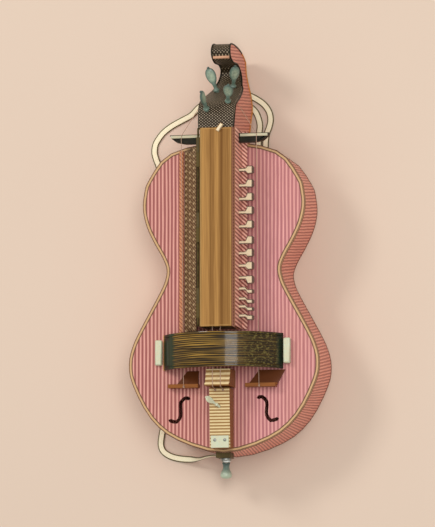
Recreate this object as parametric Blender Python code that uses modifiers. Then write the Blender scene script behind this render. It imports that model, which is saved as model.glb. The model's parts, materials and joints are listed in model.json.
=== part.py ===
"""A hurdy-gurdy on its back: +X to its right, +Y from the tail to the pegbox, +Z out of the soundboard.

A guitar-shaped box carries a keybox, and a wheel on a cranked axle rubs the strings through a slot in the
soundboard. Lengths are metres. Most places along the instrument are distances from the body's tail end.
"""

import math

import bmesh
import bpy
import numpy as np
from mathutils import Matrix, Vector

GAP = 0.0003  # between pieces that touch
WELD = 0.000003  # how near two points are that become one
OVERRUN = 0.002  # how far a cutter runs past what it cuts

# The body
BODY_LENGTH = 0.468
BODY_WIDTH = 0.291
BODY_DEPTH = 0.100
BOARD_THICKNESS = 0.004
RIB_THICKNESS = 0.003
BINDING_WIDTH = 0.004
CRANK_REACH = 0.036  # from the body's tail to the end of the crank handle
# Half of the outline from the tail to the top, as shares of half the body's width and of its length
OUTLINE_SHARES = (
    (0.0, 0.0),
    (0.486, 0.042),
    (0.772, 0.113),
    (0.963, 0.223),
    (1.0, 0.288),
    (0.964, 0.343),
    (0.876, 0.4015),
    (0.676, 0.515),
    (0.617, 0.557),
    (0.602, 0.5925),
    (0.649, 0.631),
    (0.738, 0.68),
    (0.815, 0.732),
    (0.854, 0.785),
    (0.8435, 0.835),
    (0.792, 0.884),
    (0.558, 0.968),
)
OUTLINE_STEPS = 3
S_HOLE_SHARES = (
    (0.364, 0.174),
    (0.405, 0.176),
    (0.452, 0.161),
    (0.452, 0.138),
    (0.452, 0.118),
    (0.495, 0.1),
    (0.564, 0.105),
)
S_HOLE_WIDTH = 0.0055
BLOCK_WIDTH = 0.080
BLOCK_LENGTH = 0.024
BRACE_WIDTH = 0.014
AXLE_BRACE_DROP = 0.036
UPPER_BRACE_SHARE = 0.705
UPPER_BRACE_DROP = 0.012

# The wheel and its drive
WHEEL_DISTANCE = 0.1505
WHEEL_RADIUS = 0.068
WHEEL_WIDTH = 0.036
WHEEL_RISE = 0.050
WHEEL_HUB_RADIUS = 0.014
WHEEL_WEB = 0.022
WHEEL_RIM = 0.008
WHEEL_STEPS = 64
SLOT_CLEARANCE = 0.003
AXLE_RADIUS = 0.004
BEARING_RADIUS = 0.010
BEARING_LENGTH = 0.0209
TAIL_BEARING_LEFT = 0.013
TAIL_BEARING_RIGHT = 0.009
TAIL_BEARING_HEIGHT = 0.026
TAIL_BEARING_LENGTH = 0.0072
CRANK_THROW = 0.034
CRANK_TURN = math.radians(12)  # how far the arm hangs off straight down
CRANK_ARM_THICKNESS = 0.0032
CRANK_ARM_WIDTH = 0.009
CRANK_HUB_RADIUS = 0.008
HANDLE_PIN_RADIUS = 0.0022
HANDLE_CAP_LENGTH = 0.0033  # solid wood past the end of the pin
HANDLE_RADIUS = 0.0088
# The handle's outside from the arm to its end, as shares of its length and of its greatest radius
HANDLE_SHARES = ((0.0, 0.6), (0.3, 0.56), (0.5, 0.72), (0.7, 0.97), (0.8, 1.0), (0.93, 0.82), (0.99, 0.45))

# The wheel cover and its seats
COVER_WIDTH = 0.053
COVER_CHORD = 0.185
COVER_RISE = 0.058
COVER_WALL = 0.004
COVER_STEPS = 28
SEAT_WIDTH = 0.0105
SEAT_LENGTH = 0.038
SEAT_HEIGHT = 0.010

# The keybox
KEYBOX_COVER_GAP = 0.007
KEYBOX_OVERHANG = 0.014  # how far the keybox runs past the body's top
KEYBOX_HEIGHT = 0.056
LID_WIDTH = 0.048
LID_THICKNESS = 0.004
LID_LEDGE = 0.002
KEY_WALL = 0.008
BASS_WALL = 0.004
FLOOR_THICKNESS = 0.004
FLOOR_LIP = 0.007
WHEEL_END_DROP = 0.012
APRON_TOP_GAP = 0.0065
APRON_TOP_DROP = 0.006
APRON_SPREAD = 0.036
APRON_THICKNESS = 0.004
APRON_TAIL_LEAD = 0.006  # how far the apron runs ahead of the keybox
APRON_TOP_INSET = 0.013  # from the body's top to the apron's end
MOULDING_WIDTH = 0.007
MOULDING_HEIGHT = 0.006
BEAD_STEPS = 7
HINGE_PIN_RADIUS = 0.0015
KNUCKLE_RADIUS = 0.003
KNUCKLE_LENGTH = 0.022
KNUCKLE_FOOT = 0.008
KNUCKLE_WEB = 0.0022
LID_KNUCKLE_SHARES = (0.08, 0.46, 0.84)
PULL_LENGTH = 0.013
PULL_WIDTH = 0.005
PULL_THICKNESS = 0.003
PULL_TURN = math.radians(55)

# The keys, each as its place along the keybox, its head's offset and its head's width as shares
KEY_SECTION = 0.005
KEY_CLEARANCE = 0.0003
KEY_HEIGHT = 0.025
KEY_TRAVEL = 0.006
KEY_TAIL = 0.003
HEAD_REACH = 0.0124  # from the key wall to the head
HEAD_LENGTH = 0.0097
HEAD_WIDTH = 0.012
HEAD_FLARE = 0.003
HEAD_CORNER_SHARE = 0.33
TANGENT_THICKNESS = 0.0025
TANGENT_WIDTH = 0.004
TANGENT_LID_GAP = 0.0013
KEY_SHARES = (
    (0.795, 0.0, 1.0),
    (0.716, 0.26, 1.0),
    (0.648, 0.26, 1.0),
    (0.580, 0.26, 1.0),
    (0.509, 0.26, 1.0),
    (0.429, 0.28, 1.0),
    (0.374, 0.06, 1.0),
    (0.311, 0.0, 1.0),
    (0.251, -0.26, 1.0),
    (0.196, -0.38, 0.5),
    (0.145, -0.36, 0.5),
    (0.106, -0.34, 0.46),
    (0.060, -0.26, 0.6),
)

# The strings and what they pass over
STRING_RADIUS = 0.0005
STRING_OVERHANG = 0.0016  # how far a string stays level past its nut or saddle
MELODY_SPREAD = 0.012
DRONE_OFFSET = 0.0575
NUT_THICKNESS = 0.004
NUT_INSET = 0.004
NUT_DROP = 0.0085
NUT_BAR_REACH = 0.076
NUT_BAR_LENGTH = 0.014
NUT_BAR_HEIGHT = 0.030
NUT_BAR_THICKNESS = 0.010
NUT_STRIP_RISE = 0.0025
NUT_STRIP_LENGTH = 0.004
NUT_BAR_SHARES = ((0.0, 0.0), (0.55, 0.03), (0.8, 0.22), (0.94, 0.6), (1.0, 1.0))
BRIDGE_WIDTH = 0.037
BRIDGE_COVER_GAP = 0.002
BRIDGE_LENGTH = 0.0255
BRIDGE_FOOT_HEIGHT = 0.038
SADDLE_HEIGHT = 0.0487
SADDLE_LENGTH = 0.004
BRIDGE_STEPS = 3
WEDGE_COVER_GAP = 0.0015
DRONE_BRIDGE_LENGTH = 0.0055
DRONE_BRIDGE_HEIGHT = 0.015
DRONE_BRIDGE_INNER = 0.036
DRONE_BRIDGE_OUTER = 0.082
WEDGE_HEIGHT = 0.011
WEDGE_TOE = 0.0015
WEDGE_LENGTH = 0.023
# The wedge's corners across the bridge and toward the cover, as shares of the bridge from its left end
WEDGE_SHARES = {"left": (0.2, 0.97, 0.62, 0.97), "right": (0.03, 0.97, 0.44, 1.3)}
TAILPIECE_WIDTH = 0.031
TAILPIECE_DISTANCE = 0.0055
TAILPIECE_BRIDGE_GAP = 0.002
TAILPIECE_HEIGHT = 0.030
TAILPIECE_TAIL_HEIGHT = 0.024
TAIL_PLATE_WIDTH = 0.027
TAIL_PLATE_LENGTH = 0.018
TAIL_PLATE_THICKNESS = 0.0015
TAIL_PEG_SCALE = 0.62
TAIL_PEG_SHARES = (-0.1, 0.7)  # its foot across half the tailpiece and along it
TAIL_PEG_LEAN = (-0.55, 0.42, 0.72)
TAIL_PEG_TURN = math.radians(30)

# The pegbox
PEGBOX_LENGTH = 0.1357
PEGBOX_WIDTH = 0.053
PEGBOX_WALL = 0.0065
PEGBOX_LOW = 0.005
PEG_PLATE_THICKNESS = 0.004
PEG_PLATE_SHARE = 0.565
HEEL_LOW_SHARE = 0.235
HEEL_LENGTH = 0.016  # how far the heel reaches back along the body's sides
# The side view, as shares of the pegbox's length and of its height above its lowest point
FRONT_SHARES = (
    (0.0, 1.0),
    (0.2, 0.966),
    (0.304, 0.9),
    (0.422, 0.651),
    (0.54, 0.416),
    (0.66, 0.29),
    (0.76, 0.29),
    (0.805, 0.416),
    (0.793, 0.6),
    (0.83, 0.73),
    (0.911, 0.76),
    (0.978, 0.705),
)
BACK_SHARES = (
    (0.998, 0.57),
    (0.998, 0.4),
    (0.985, 0.265),
    (0.958, 0.15),
    (0.915, 0.05),
    (0.85, 0.0),
    (0.57, 0.0),
    (0.422, 0.06),
    (0.237, 0.16),
    (0.0, HEEL_LOW_SHARE),
)
PLAN_SHARES = ((0.0, 1.0), (0.3, 1.05), (0.45, 0.92), (0.6, 0.72), (0.77, 0.54), (0.9, 0.53), (1.0, 0.5))
CAVITY_SHARES = (
    (0.0, 0.8),
    (0.126, 0.785),
    (0.237, 0.685),
    (0.348, 0.45),
    (0.422, 0.349),
    (0.5, 0.33),
)
PROFILE_STEPS = 3
# Each peg's foot as shares of half the pegbox's width and of its length, the way it points, and its turn
PEG_SHARES = (
    (-0.55, 0.2, (-0.03, 0.55, 0.83), 1.35),
    (0.62, 0.285, (0.2, 0.5, 0.84), 0.2),
    (-0.48, 0.474, (-0.25, 0.86, 0.45), 0.0),
    (0.3, 0.54, (0.22, 0.7, 0.67), 0.6),
)
PEG_SHAFT_RADIUS = 0.0034
PEG_TIP_RADIUS = 0.0026
PEG_SHAFT_LENGTH = 0.034
PEG_NECK_LENGTH = 0.013
PEG_COLLAR_RADIUS = 0.0048
PEG_COLLAR_LENGTH = 0.0025
PEG_HEAD_LENGTH = 0.027
PEG_HEAD_WIDTH = 0.018
PEG_HEAD_THICKNESS = 0.0068
PEG_HEAD_SEAT_SHARE = 0.425  # the head's middle above its neck, as a share of its length
PEG_SIDES = 12
DRONE_HOLE_RADIUS = 0.0014
DRONE_HOLE_SHARES = (0.27, 0.82)
DRONE_TAIL = 0.010
MELODY_DIP_SHARES = (0.11, 0.83)

# The straps are flat bands that lie on the table. The upper two are points past the body's top, and the
# lower one's are points past its tail, with their height.
STRAP_WIDTH = 0.010
STRAP_THICKNESS = 0.002
STRAP_LIFT = 0.0013
STRAP_STEPS = 3
STRAP_TWIST = 0.040  # the height above which a strap faces the tail, as it hangs from the ribs
STRAP_NECK_ROUTE = (
    (-0.1105, -0.0680),
    (-0.1165, -0.0540),
    (-0.1210, -0.0370),
    (-0.1232, -0.0200),
    (-0.1275, -0.0080),
    (-0.1298, 0.0020),
    (-0.1283, 0.0140),
    (-0.1226, 0.0240),
    (-0.1149, 0.0330),
    (-0.1026, 0.0420),
    (-0.0872, 0.0500),
    (-0.0718, 0.0580),
    (-0.0595, 0.0700),
    (-0.0400, 0.0820),
    (-0.0150, 0.0895),
    (0.0060, 0.0890),
    (0.0220, 0.0840),
    (0.0400, 0.0725),
    (0.0492, 0.0605),
    (0.0522, 0.0480),
    (0.0503, 0.0365),
    (0.0467, 0.0265),
    (0.0446, 0.0140),
    (0.0440, -0.0020),
    (0.0435, -0.0190),
)
STRAP_INNER_ROUTE = (
    (0.0050, 0.0780),
    (0.0110, 0.0730),
    (0.0200, 0.0680),
    (0.0285, 0.0600),
    (0.0335, 0.0490),
    (0.0355, 0.0380),
    (0.0345, 0.0270),
    (0.0335, 0.0120),
    (0.0325, -0.0160),
)
STRAP_LOWER_ROUTE = (
    (-0.0139, -0.0025, 0.0780),
    (-0.0175, -0.0025, 0.0777),
    (-0.0235, -0.0026, 0.0735),
    (-0.0310, -0.0027, 0.0640),
    (-0.0400, -0.0030, 0.0490),
    (-0.0510, -0.0033, 0.0320),
    (-0.0640, -0.0034, 0.0170),
    (-0.0780, -0.0028, 0.0070),
    (-0.0920, -0.0010, 0.0022),
    (-0.1050, 0.0030, 0.0013),
    (-0.1150, 0.0100, 0.0013),
    (-0.1190, 0.0200, 0.0013),
    (-0.1180, 0.0330, 0.0013),
    (-0.1150, 0.0470, 0.0013),
    (-0.1100, 0.0600, 0.0013),
)

COVER_START = WHEEL_DISTANCE - COVER_WIDTH / 2
KEYBOX_DISTANCE = WHEEL_DISTANCE + COVER_WIDTH / 2 + KEYBOX_COVER_GAP
KEYBOX_LENGTH = BODY_LENGTH + KEYBOX_OVERHANG - KEYBOX_DISTANCE
AXLE_BRACE_DISTANCE = WHEEL_DISTANCE + WHEEL_WIDTH / 2 + GAP + BEARING_LENGTH + GAP + BRACE_WIDTH / 2
TOTAL_LENGTH = CRANK_REACH + KEYBOX_DISTANCE + KEYBOX_LENGTH + GAP + PEGBOX_LENGTH
TAIL_Y = CRANK_REACH - TOTAL_LENGTH / 2
APRON_START = KEYBOX_DISTANCE - APRON_TAIL_LEAD
APRON_END = BODY_LENGTH - APRON_TOP_INSET
BRIDGE_END = COVER_START - BRIDGE_COVER_GAP
BRIDGE_DISTANCE = BRIDGE_END - BRIDGE_LENGTH
WEDGE_END = COVER_START - WEDGE_COVER_GAP
DRONE_BRIDGE_DISTANCE = WEDGE_END - WEDGE_LENGTH
TAILPIECE_END = BRIDGE_DISTANCE - TAILPIECE_BRIDGE_GAP
UPPER_BRACE_DISTANCE = UPPER_BRACE_SHARE * BODY_LENGTH
TOP = BODY_DEPTH  # the soundboard's outer face
AXLE_Z = TOP + WHEEL_RISE - WHEEL_RADIUS
RIB_LOW = BOARD_THICKNESS + GAP
RIB_HIGH = TOP - BOARD_THICKNESS - GAP
FLOOR_TOP = TOP + GAP + FLOOR_THICKNESS
LID_TOP = TOP + KEYBOX_HEIGHT
LID_LOW = LID_TOP - LID_THICKNESS
WALL_TOP = LID_LOW - GAP
HALF_LID = LID_WIDTH / 2
KEY_WALL_INNER = HALF_LID - LID_LEDGE
KEY_WALL_OUTER = KEY_WALL_INNER + KEY_WALL
HINGE_X = -HALF_LID - KNUCKLE_RADIUS
HINGE_Z = LID_TOP - LID_THICKNESS / 2
STRING_RING = WHEEL_RADIUS + GAP + STRING_RADIUS  # how far a string's middle is from the axle
MELODY_Z = AXLE_Z + math.sqrt(STRING_RING**2 - (MELODY_SPREAD / 2) ** 2)
DRONE_Z = AXLE_Z + math.sqrt(STRING_RING**2 - DRONE_OFFSET**2)


def along(distance):
    """The Y of a place at this distance from the body's tail end."""
    return TAIL_Y + distance


KEYBOX_LOW_Y = along(KEYBOX_DISTANCE)
KEYBOX_HIGH_Y = along(KEYBOX_DISTANCE + KEYBOX_LENGTH)
PEGBOX_Y = KEYBOX_HIGH_Y + GAP
PEGBOX_RISE = LID_TOP - PEGBOX_LOW

# What each plane of a flat outline means: its first and second axis, and the axis that it is extruded along
PLANES = {
    "XY": ((1, 0, 0), (0, 1, 0), (0, 0, 1)),
    "YZ": ((0, 1, 0), (0, 0, 1), (1, 0, 0)),
    "XZ": ((1, 0, 0), (0, 0, 1), (0, -1, 0)),
}


def empty_scene():
    for obj in list(bpy.data.objects):
        bpy.data.objects.remove(obj)
    for name in ("hurdy_gurdy", "cutters"):
        group = bpy.data.collections.new(name)
        bpy.context.scene.collection.children.link(group)
    bpy.data.collections["cutters"].hide_render = True


def link(obj, group="hurdy_gurdy"):
    bpy.data.collections[group].objects.link(obj)
    return obj


def finish(name, colour, roughness, metallic=0.0):
    material = bpy.data.materials.new(name)
    material.use_nodes = True
    shader = material.node_tree.nodes["Principled BSDF"]
    shader.inputs["Base Color"].default_value = (*colour, 1.0)
    shader.inputs["Roughness"].default_value = roughness
    shader.inputs["Metallic"].default_value = metallic
    return material


def make_finishes():
    return {
        "soundboard": finish("varnished spruce", (0.56, 0.24, 0.22), 0.4),
        "rib": finish("varnished maple", (0.44, 0.14, 0.11), 0.4),
        "binding": finish("pale binding", (0.76, 0.48, 0.24), 0.5),
        "lid": finish("golden walnut", (0.40, 0.20, 0.05), 0.4),
        "dark": finish("dark stained wood", (0.10, 0.06, 0.035), 0.5),
        "moulding": finish("orange moulding", (0.60, 0.28, 0.12), 0.5),
        "bone": finish("bone", (0.80, 0.66, 0.42), 0.4),
        "ebony": finish("ebonised wood", (0.02, 0.02, 0.01), 0.4),
        "cover": finish("olive brown varnish", (0.08, 0.05, 0.012), 0.3),
        "seat": finish("pale bone", (0.72, 0.78, 0.62), 0.5),
        "peg": finish("grey green stained wood", (0.16, 0.26, 0.20), 0.4),
        "bridge": finish("orange brown wood", (0.46, 0.20, 0.05), 0.5),
        "plain": finish("plain maple", (0.62, 0.42, 0.22), 0.6),
        "gut": finish("gut string", (0.72, 0.66, 0.55), 0.4),
        "steel": finish("steel", (0.45, 0.45, 0.42), 0.3, 1.0),
        "brass": finish("brass", (0.70, 0.50, 0.20), 0.3, 1.0),
        "strap": finish("woven strap", (0.86, 0.74, 0.50), 0.8),
    }


def smooth(points, steps, closed=False):
    """Points on a curve through these ones, with this many to each stretch."""
    given = np.array(points, float)
    count = len(given)
    if closed:
        padded = np.vstack([given[-1], given, given[:2]])
    else:
        padded = np.vstack([2 * given[0] - given[1], given, 2 * given[-1] - given[-2]])
    found = []
    for i in range(count if closed else count - 1):
        before, start, end, after = padded[i : i + 4]
        for t in np.arange(steps) / steps:
            found.append(
                start
                + 0.5 * t * (end - before)
                + t * t * (before - 2.5 * start + 2 * end - 0.5 * after)
                + t * t * t * (1.5 * start - 1.5 * end + 0.5 * after - 0.5 * before)
            )
    if not closed:
        found.append(given[-1])
    return [tuple(point) for point in found]


def offset(loop, distance):
    """A closed outline moved outward by this distance, or inward where it is negative."""
    points = np.array(loop)
    ways = np.roll(points, -1, axis=0) - np.roll(points, 1, axis=0)
    normals = np.column_stack([ways[:, 1], -ways[:, 0]])
    normals /= np.linalg.norm(normals, axis=1)[:, None]
    area = np.sum(points[:, 0] * np.roll(points[:, 1], -1) - points[:, 1] * np.roll(points[:, 0], -1))
    return [tuple(p) for p in points + normals * distance * np.sign(area)]


def body_outline(grown=0.0):
    half = [(x * BODY_WIDTH / 2, along(y * BODY_LENGTH)) for x, y in OUTLINE_SHARES]
    mirrored = [(-x, y) for x, y in reversed(half[1:])]
    loop = smooth(half + [(0.0, along(BODY_LENGTH))] + mirrored, OUTLINE_STEPS, closed=True)
    return offset(loop, grown) if grown else loop


def arc(centre, radius, start, end, steps):
    angles = np.linspace(start, end, steps + 1)
    return [(centre[0] + radius * math.cos(a), centre[1] + radius * math.sin(a)) for a in angles]


def plate(name, loops, low, high, plane="XY"):
    """A flat outline, with holes as further loops, extruded from low to high across its plane."""
    curve = bpy.data.curves.new(name, "CURVE")
    curve.dimensions = "2D"
    curve.fill_mode = "BOTH"
    curve.extrude = (high - low) / 2
    for loop in loops:
        spline = curve.splines.new("POLY")
        spline.points.add(len(loop) - 1)
        for point, place in zip(spline.points, loop):
            point.co = (place[0], place[1], 0.0, 1.0)
        spline.use_cyclic_u = True
    obj = link(bpy.data.objects.new(name, curve))
    axes = Matrix(PLANES[plane]).transposed().to_4x4()
    middle = (low + high) / 2
    if plane == "XZ":
        middle = -middle
    obj.matrix_world = axes @ Matrix.Translation((0.0, 0.0, middle))
    return obj


def as_mesh(obj):
    """A curve object made a mesh with its caps welded."""
    bpy.context.view_layer.update()
    graph = bpy.context.evaluated_depsgraph_get()
    mesh = bpy.data.meshes.new_from_object(obj.evaluated_get(graph))
    edit = bmesh.new()
    edit.from_mesh(mesh)
    bmesh.ops.remove_doubles(edit, verts=edit.verts, dist=WELD)
    bmesh.ops.recalc_face_normals(edit, faces=edit.faces)
    edit.to_mesh(mesh)
    edit.free()
    made = bpy.data.objects.new(obj.name, mesh)
    made.matrix_world = obj.matrix_world.copy()
    name = obj.name
    bpy.data.objects.remove(obj)
    made.name = name
    return link(made)


def solid_plate(name, loops, low, high, plane="XY"):
    return as_mesh(plate(name, loops, low, high, plane))


def from_bmesh(name, edit):
    mesh = bpy.data.meshes.new(name)
    edit.to_mesh(mesh)
    edit.free()
    return link(bpy.data.objects.new(name, mesh))


def box(name, low, high):
    low = Vector(low)
    high = Vector(high)
    edit = bmesh.new()
    bmesh.ops.create_cube(edit, size=1.0, matrix=Matrix.Diagonal((*(high - low), 1.0)))
    obj = from_bmesh(name, edit)
    obj.location = (low + high) / 2
    return obj


def rod(name, start, end, radius, end_radius=None, sides=20):
    """A round bar, or a taper, from one point to another."""
    start = Vector(start)
    way = Vector(end) - start
    edit = bmesh.new()
    bmesh.ops.create_cone(
        edit,
        cap_ends=True,
        segments=sides,
        radius1=radius,
        radius2=radius if end_radius is None else end_radius,
        depth=way.length,
        matrix=Matrix.Translation((0.0, 0.0, way.length / 2)),
    )
    obj = from_bmesh(name, edit)
    obj.matrix_world = Matrix.Translation(start) @ way.to_track_quat("Z", "Y").to_matrix().to_4x4()
    return rounded(obj)


def rounded(obj):
    obj.data.shade_smooth()
    obj.data.set_sharp_from_angle(angle=math.radians(40))
    return obj


def turned(name, profile, start, way, steps, closed=False):
    """A profile of (radius, distance) turned about the line from start along way; it runs top to bottom."""
    edit = bmesh.new()
    verts = [edit.verts.new((radius, 0.0, distance)) for radius, distance in profile]
    for first, second in zip(verts, verts[1:]):
        edit.edges.new((first, second))
    if closed:
        edit.edges.new((verts[-1], verts[0]))
    obj = from_bmesh(name, edit)
    screw = obj.modifiers.new("turn", "SCREW")
    screw.steps = steps
    screw.render_steps = steps
    screw.use_merge_vertices = True
    screw.merge_threshold = WELD
    obj.matrix_world = Matrix.Translation(start) @ Vector(way).to_track_quat("Z", "Y").to_matrix().to_4x4()
    return obj


def set_origin(obj, point):
    """Moves the object's origin onto its joint's axis and leaves its shape where it is."""
    bpy.context.view_layer.update()
    obj.data.transform(Matrix.Translation(-Vector(point)) @ obj.matrix_world)
    obj.matrix_world = Matrix.Translation(point)
    return obj


def boolean(obj, other, operation):
    step = obj.modifiers.new(f"{operation.lower()} {other.name}", "BOOLEAN")
    step.operation = operation
    step.solver = "EXACT"
    step.object = other
    if other.name not in bpy.data.collections["cutters"].objects:
        for group in list(other.users_collection):
            group.objects.unlink(other)
        link(other, "cutters")
    other.hide_render = True
    other.display_type = "WIRE"
    return obj


def cut(obj, *others):
    for other in others:
        boolean(obj, other, "DIFFERENCE")
    return obj


def join(obj, *others):
    for other in others:
        boolean(obj, other, "UNION")
    return obj


def baked(obj):
    """The object with its modifiers made part of its mesh."""
    bpy.context.view_layer.update()
    graph = bpy.context.evaluated_depsgraph_get()
    mesh = bpy.data.meshes.new_from_object(obj.evaluated_get(graph))
    obj.modifiers.clear()
    obj.data = mesh
    return obj


def soften(obj, width, segments=1):
    bevel = obj.modifiers.new("soft edges", "BEVEL")
    bevel.width = width
    bevel.segments = segments
    bevel.limit_method = "ANGLE"
    bevel.angle_limit = math.radians(50)
    return obj


def paint(material, *objects):
    for obj in objects:
        obj.data.materials.clear()
        obj.data.materials.append(material)


def s_hole(side):
    """One S-shaped sound hole with round ends, as an outline."""
    route = [(side * x * BODY_WIDTH / 2, along(y * BODY_LENGTH)) for x, y in S_HOLE_SHARES]
    line = np.array(smooth(route, 2))
    ways = np.gradient(line, axis=0)
    ways /= np.linalg.norm(ways, axis=1)[:, None]
    sides = np.column_stack([-ways[:, 1], ways[:, 0]]) * S_HOLE_WIDTH / 2
    nose = line[-1] + ways[-1] * S_HOLE_WIDTH / 2
    tail = line[0] - ways[0] * S_HOLE_WIDTH / 2
    left = [tuple(p) for p in line + sides]
    right = [tuple(p) for p in line - sides]
    return left + [tuple(nose)] + right[::-1] + [tuple(tail)]


def rectangle(low, high):
    return [(low[0], low[1]), (high[0], low[1]), (high[0], high[1]), (low[0], high[1])]


def make_body(finishes):
    back = plate("back_board", [body_outline()], 0.0, BOARD_THICKNESS)
    axle_hole = rod(
        "axle_hole_cutter",
        (0.0, along(-OVERRUN), AXLE_Z),
        (0.0, along(BLOCK_LENGTH + RIB_THICKNESS + OVERRUN), AXLE_Z),
        AXLE_RADIUS + GAP,
    )
    ribs = solid_plate("rib_band", [body_outline(), body_outline(-RIB_THICKNESS)], RIB_LOW, RIB_HIGH)
    cut(ribs, axle_hole)
    slot_low = (-WHEEL_RADIUS - SLOT_CLEARANCE, along(WHEEL_DISTANCE - WHEEL_WIDTH / 2 - SLOT_CLEARANCE))
    slot_high = (-slot_low[0], along(WHEEL_DISTANCE + WHEEL_WIDTH / 2 + SLOT_CLEARANCE))
    soundboard = plate(
        "soundboard",
        [body_outline(-BINDING_WIDTH - GAP), rectangle(slot_low, slot_high), s_hole(-1), s_hole(1)],
        TOP - BOARD_THICKNESS,
        TOP,
    )
    binding = plate(
        "edge_binding", [body_outline(), body_outline(-BINDING_WIDTH)], TOP - BOARD_THICKNESS, TOP
    )
    paint(finishes["soundboard"], soundboard)
    paint(finishes["rib"], back, ribs)
    paint(finishes["binding"], binding)
    return axle_hole


def fitted_block(name, low, high):
    """A block or brace between these corners, with its ends fitted to the inside of the ribs."""
    block = box(name, low, high)
    inside = solid_plate(
        f"{name}_fit", [body_outline(-RIB_THICKNESS - GAP)], low[2] - OVERRUN, high[2] + OVERRUN
    )
    return boolean(block, inside, "INTERSECT")


def make_blocks(finishes, axle_hole):
    half = BLOCK_WIDTH / 2
    neck = fitted_block(
        "neck_block",
        (-half, along(BODY_LENGTH - RIB_THICKNESS - BLOCK_LENGTH), RIB_LOW),
        (half, along(BODY_LENGTH + OVERRUN), RIB_HIGH),
    )
    tail = fitted_block(
        "tail_block",
        (-half, along(-OVERRUN), RIB_LOW),
        (half, along(RIB_THICKNESS + BLOCK_LENGTH), RIB_HIGH),
    )
    cut(tail, axle_hole)
    axle_brace = fitted_block(
        "axle_brace",
        (-BODY_WIDTH / 2, along(AXLE_BRACE_DISTANCE - BRACE_WIDTH / 2), RIB_HIGH - AXLE_BRACE_DROP),
        (BODY_WIDTH / 2, along(AXLE_BRACE_DISTANCE + BRACE_WIDTH / 2), RIB_HIGH),
    )
    brace_hole = rod(
        "brace_hole_cutter",
        (0.0, along(AXLE_BRACE_DISTANCE - BRACE_WIDTH / 2 - OVERRUN), AXLE_Z),
        (0.0, along(AXLE_BRACE_DISTANCE + BRACE_WIDTH / 2 + OVERRUN), AXLE_Z),
        AXLE_RADIUS + GAP,
    )
    cut(axle_brace, brace_hole)
    upper_brace = fitted_block(
        "upper_brace",
        (-BODY_WIDTH / 2, along(UPPER_BRACE_DISTANCE - BRACE_WIDTH / 2), RIB_HIGH - UPPER_BRACE_DROP),
        (BODY_WIDTH / 2, along(UPPER_BRACE_DISTANCE + BRACE_WIDTH / 2), RIB_HIGH),
    )
    paint(finishes["plain"], neck, tail, axle_brace, upper_brace)


def make_wheel(finishes):
    half = WHEEL_WIDTH / 2
    web = WHEEL_WEB / 2
    bore = AXLE_RADIUS + GAP
    inner_rim = WHEEL_RADIUS - WHEEL_RIM
    profile = [
        (inner_rim, half),
        (WHEEL_RADIUS, half),
        (WHEEL_RADIUS, -half),
        (inner_rim, -half),
        (inner_rim, -web),
        (WHEEL_HUB_RADIUS, -web),
        (WHEEL_HUB_RADIUS, -half),
        (bore, -half),
        (bore, half),
        (WHEEL_HUB_RADIUS, half),
        (WHEEL_HUB_RADIUS, web),
        (inner_rim, web),
    ]
    middle = (0.0, along(WHEEL_DISTANCE), AXLE_Z)
    wheel = turned("wheel", profile, middle, (0, 1, 0), WHEEL_STEPS, closed=True)
    brace_face = AXLE_BRACE_DISTANCE - BRACE_WIDTH / 2 - GAP
    bearing_profile = [
        (BEARING_RADIUS, BEARING_LENGTH),
        (BEARING_RADIUS, 0.0),
        (bore, 0.0),
        (bore, BEARING_LENGTH),
    ]
    inner_bearing = turned(
        "inner_bearing",
        bearing_profile,
        (0.0, along(brace_face - BEARING_LENGTH), AXLE_Z),
        (0, 1, 0),
        24,
        closed=True,
    )
    axle_tail = -GAP - TAIL_BEARING_LENGTH - GAP - CRANK_ARM_THICKNESS
    axle = rod(
        "wheel_axle",
        (0.0, along(AXLE_BRACE_DISTANCE + BRACE_WIDTH / 2), AXLE_Z),
        (0.0, along(axle_tail), AXLE_Z),
        AXLE_RADIUS,
    )
    tail_bearing = box(
        "tail_bearing",
        (-TAIL_BEARING_LEFT, along(-GAP - TAIL_BEARING_LENGTH), AXLE_Z - TAIL_BEARING_HEIGHT / 2),
        (TAIL_BEARING_RIGHT, along(TAIL_BEARING_LENGTH), AXLE_Z + TAIL_BEARING_HEIGHT / 2),
    )
    body_fit = solid_plate("body_fit", [body_outline(GAP)], -OVERRUN, TOP + OVERRUN)
    bearing_hole = rod(
        "bearing_hole_cutter",
        (0.0, along(-TAIL_BEARING_LENGTH - OVERRUN), AXLE_Z),
        (0.0, along(OVERRUN), AXLE_Z),
        AXLE_RADIUS + GAP,
    )
    cut(tail_bearing, body_fit, bearing_hole)
    paint(finishes["plain"], wheel)
    paint(finishes["brass"], inner_bearing)
    paint(finishes["steel"], axle)
    paint(finishes["ebony"], tail_bearing)
    return body_fit


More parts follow.
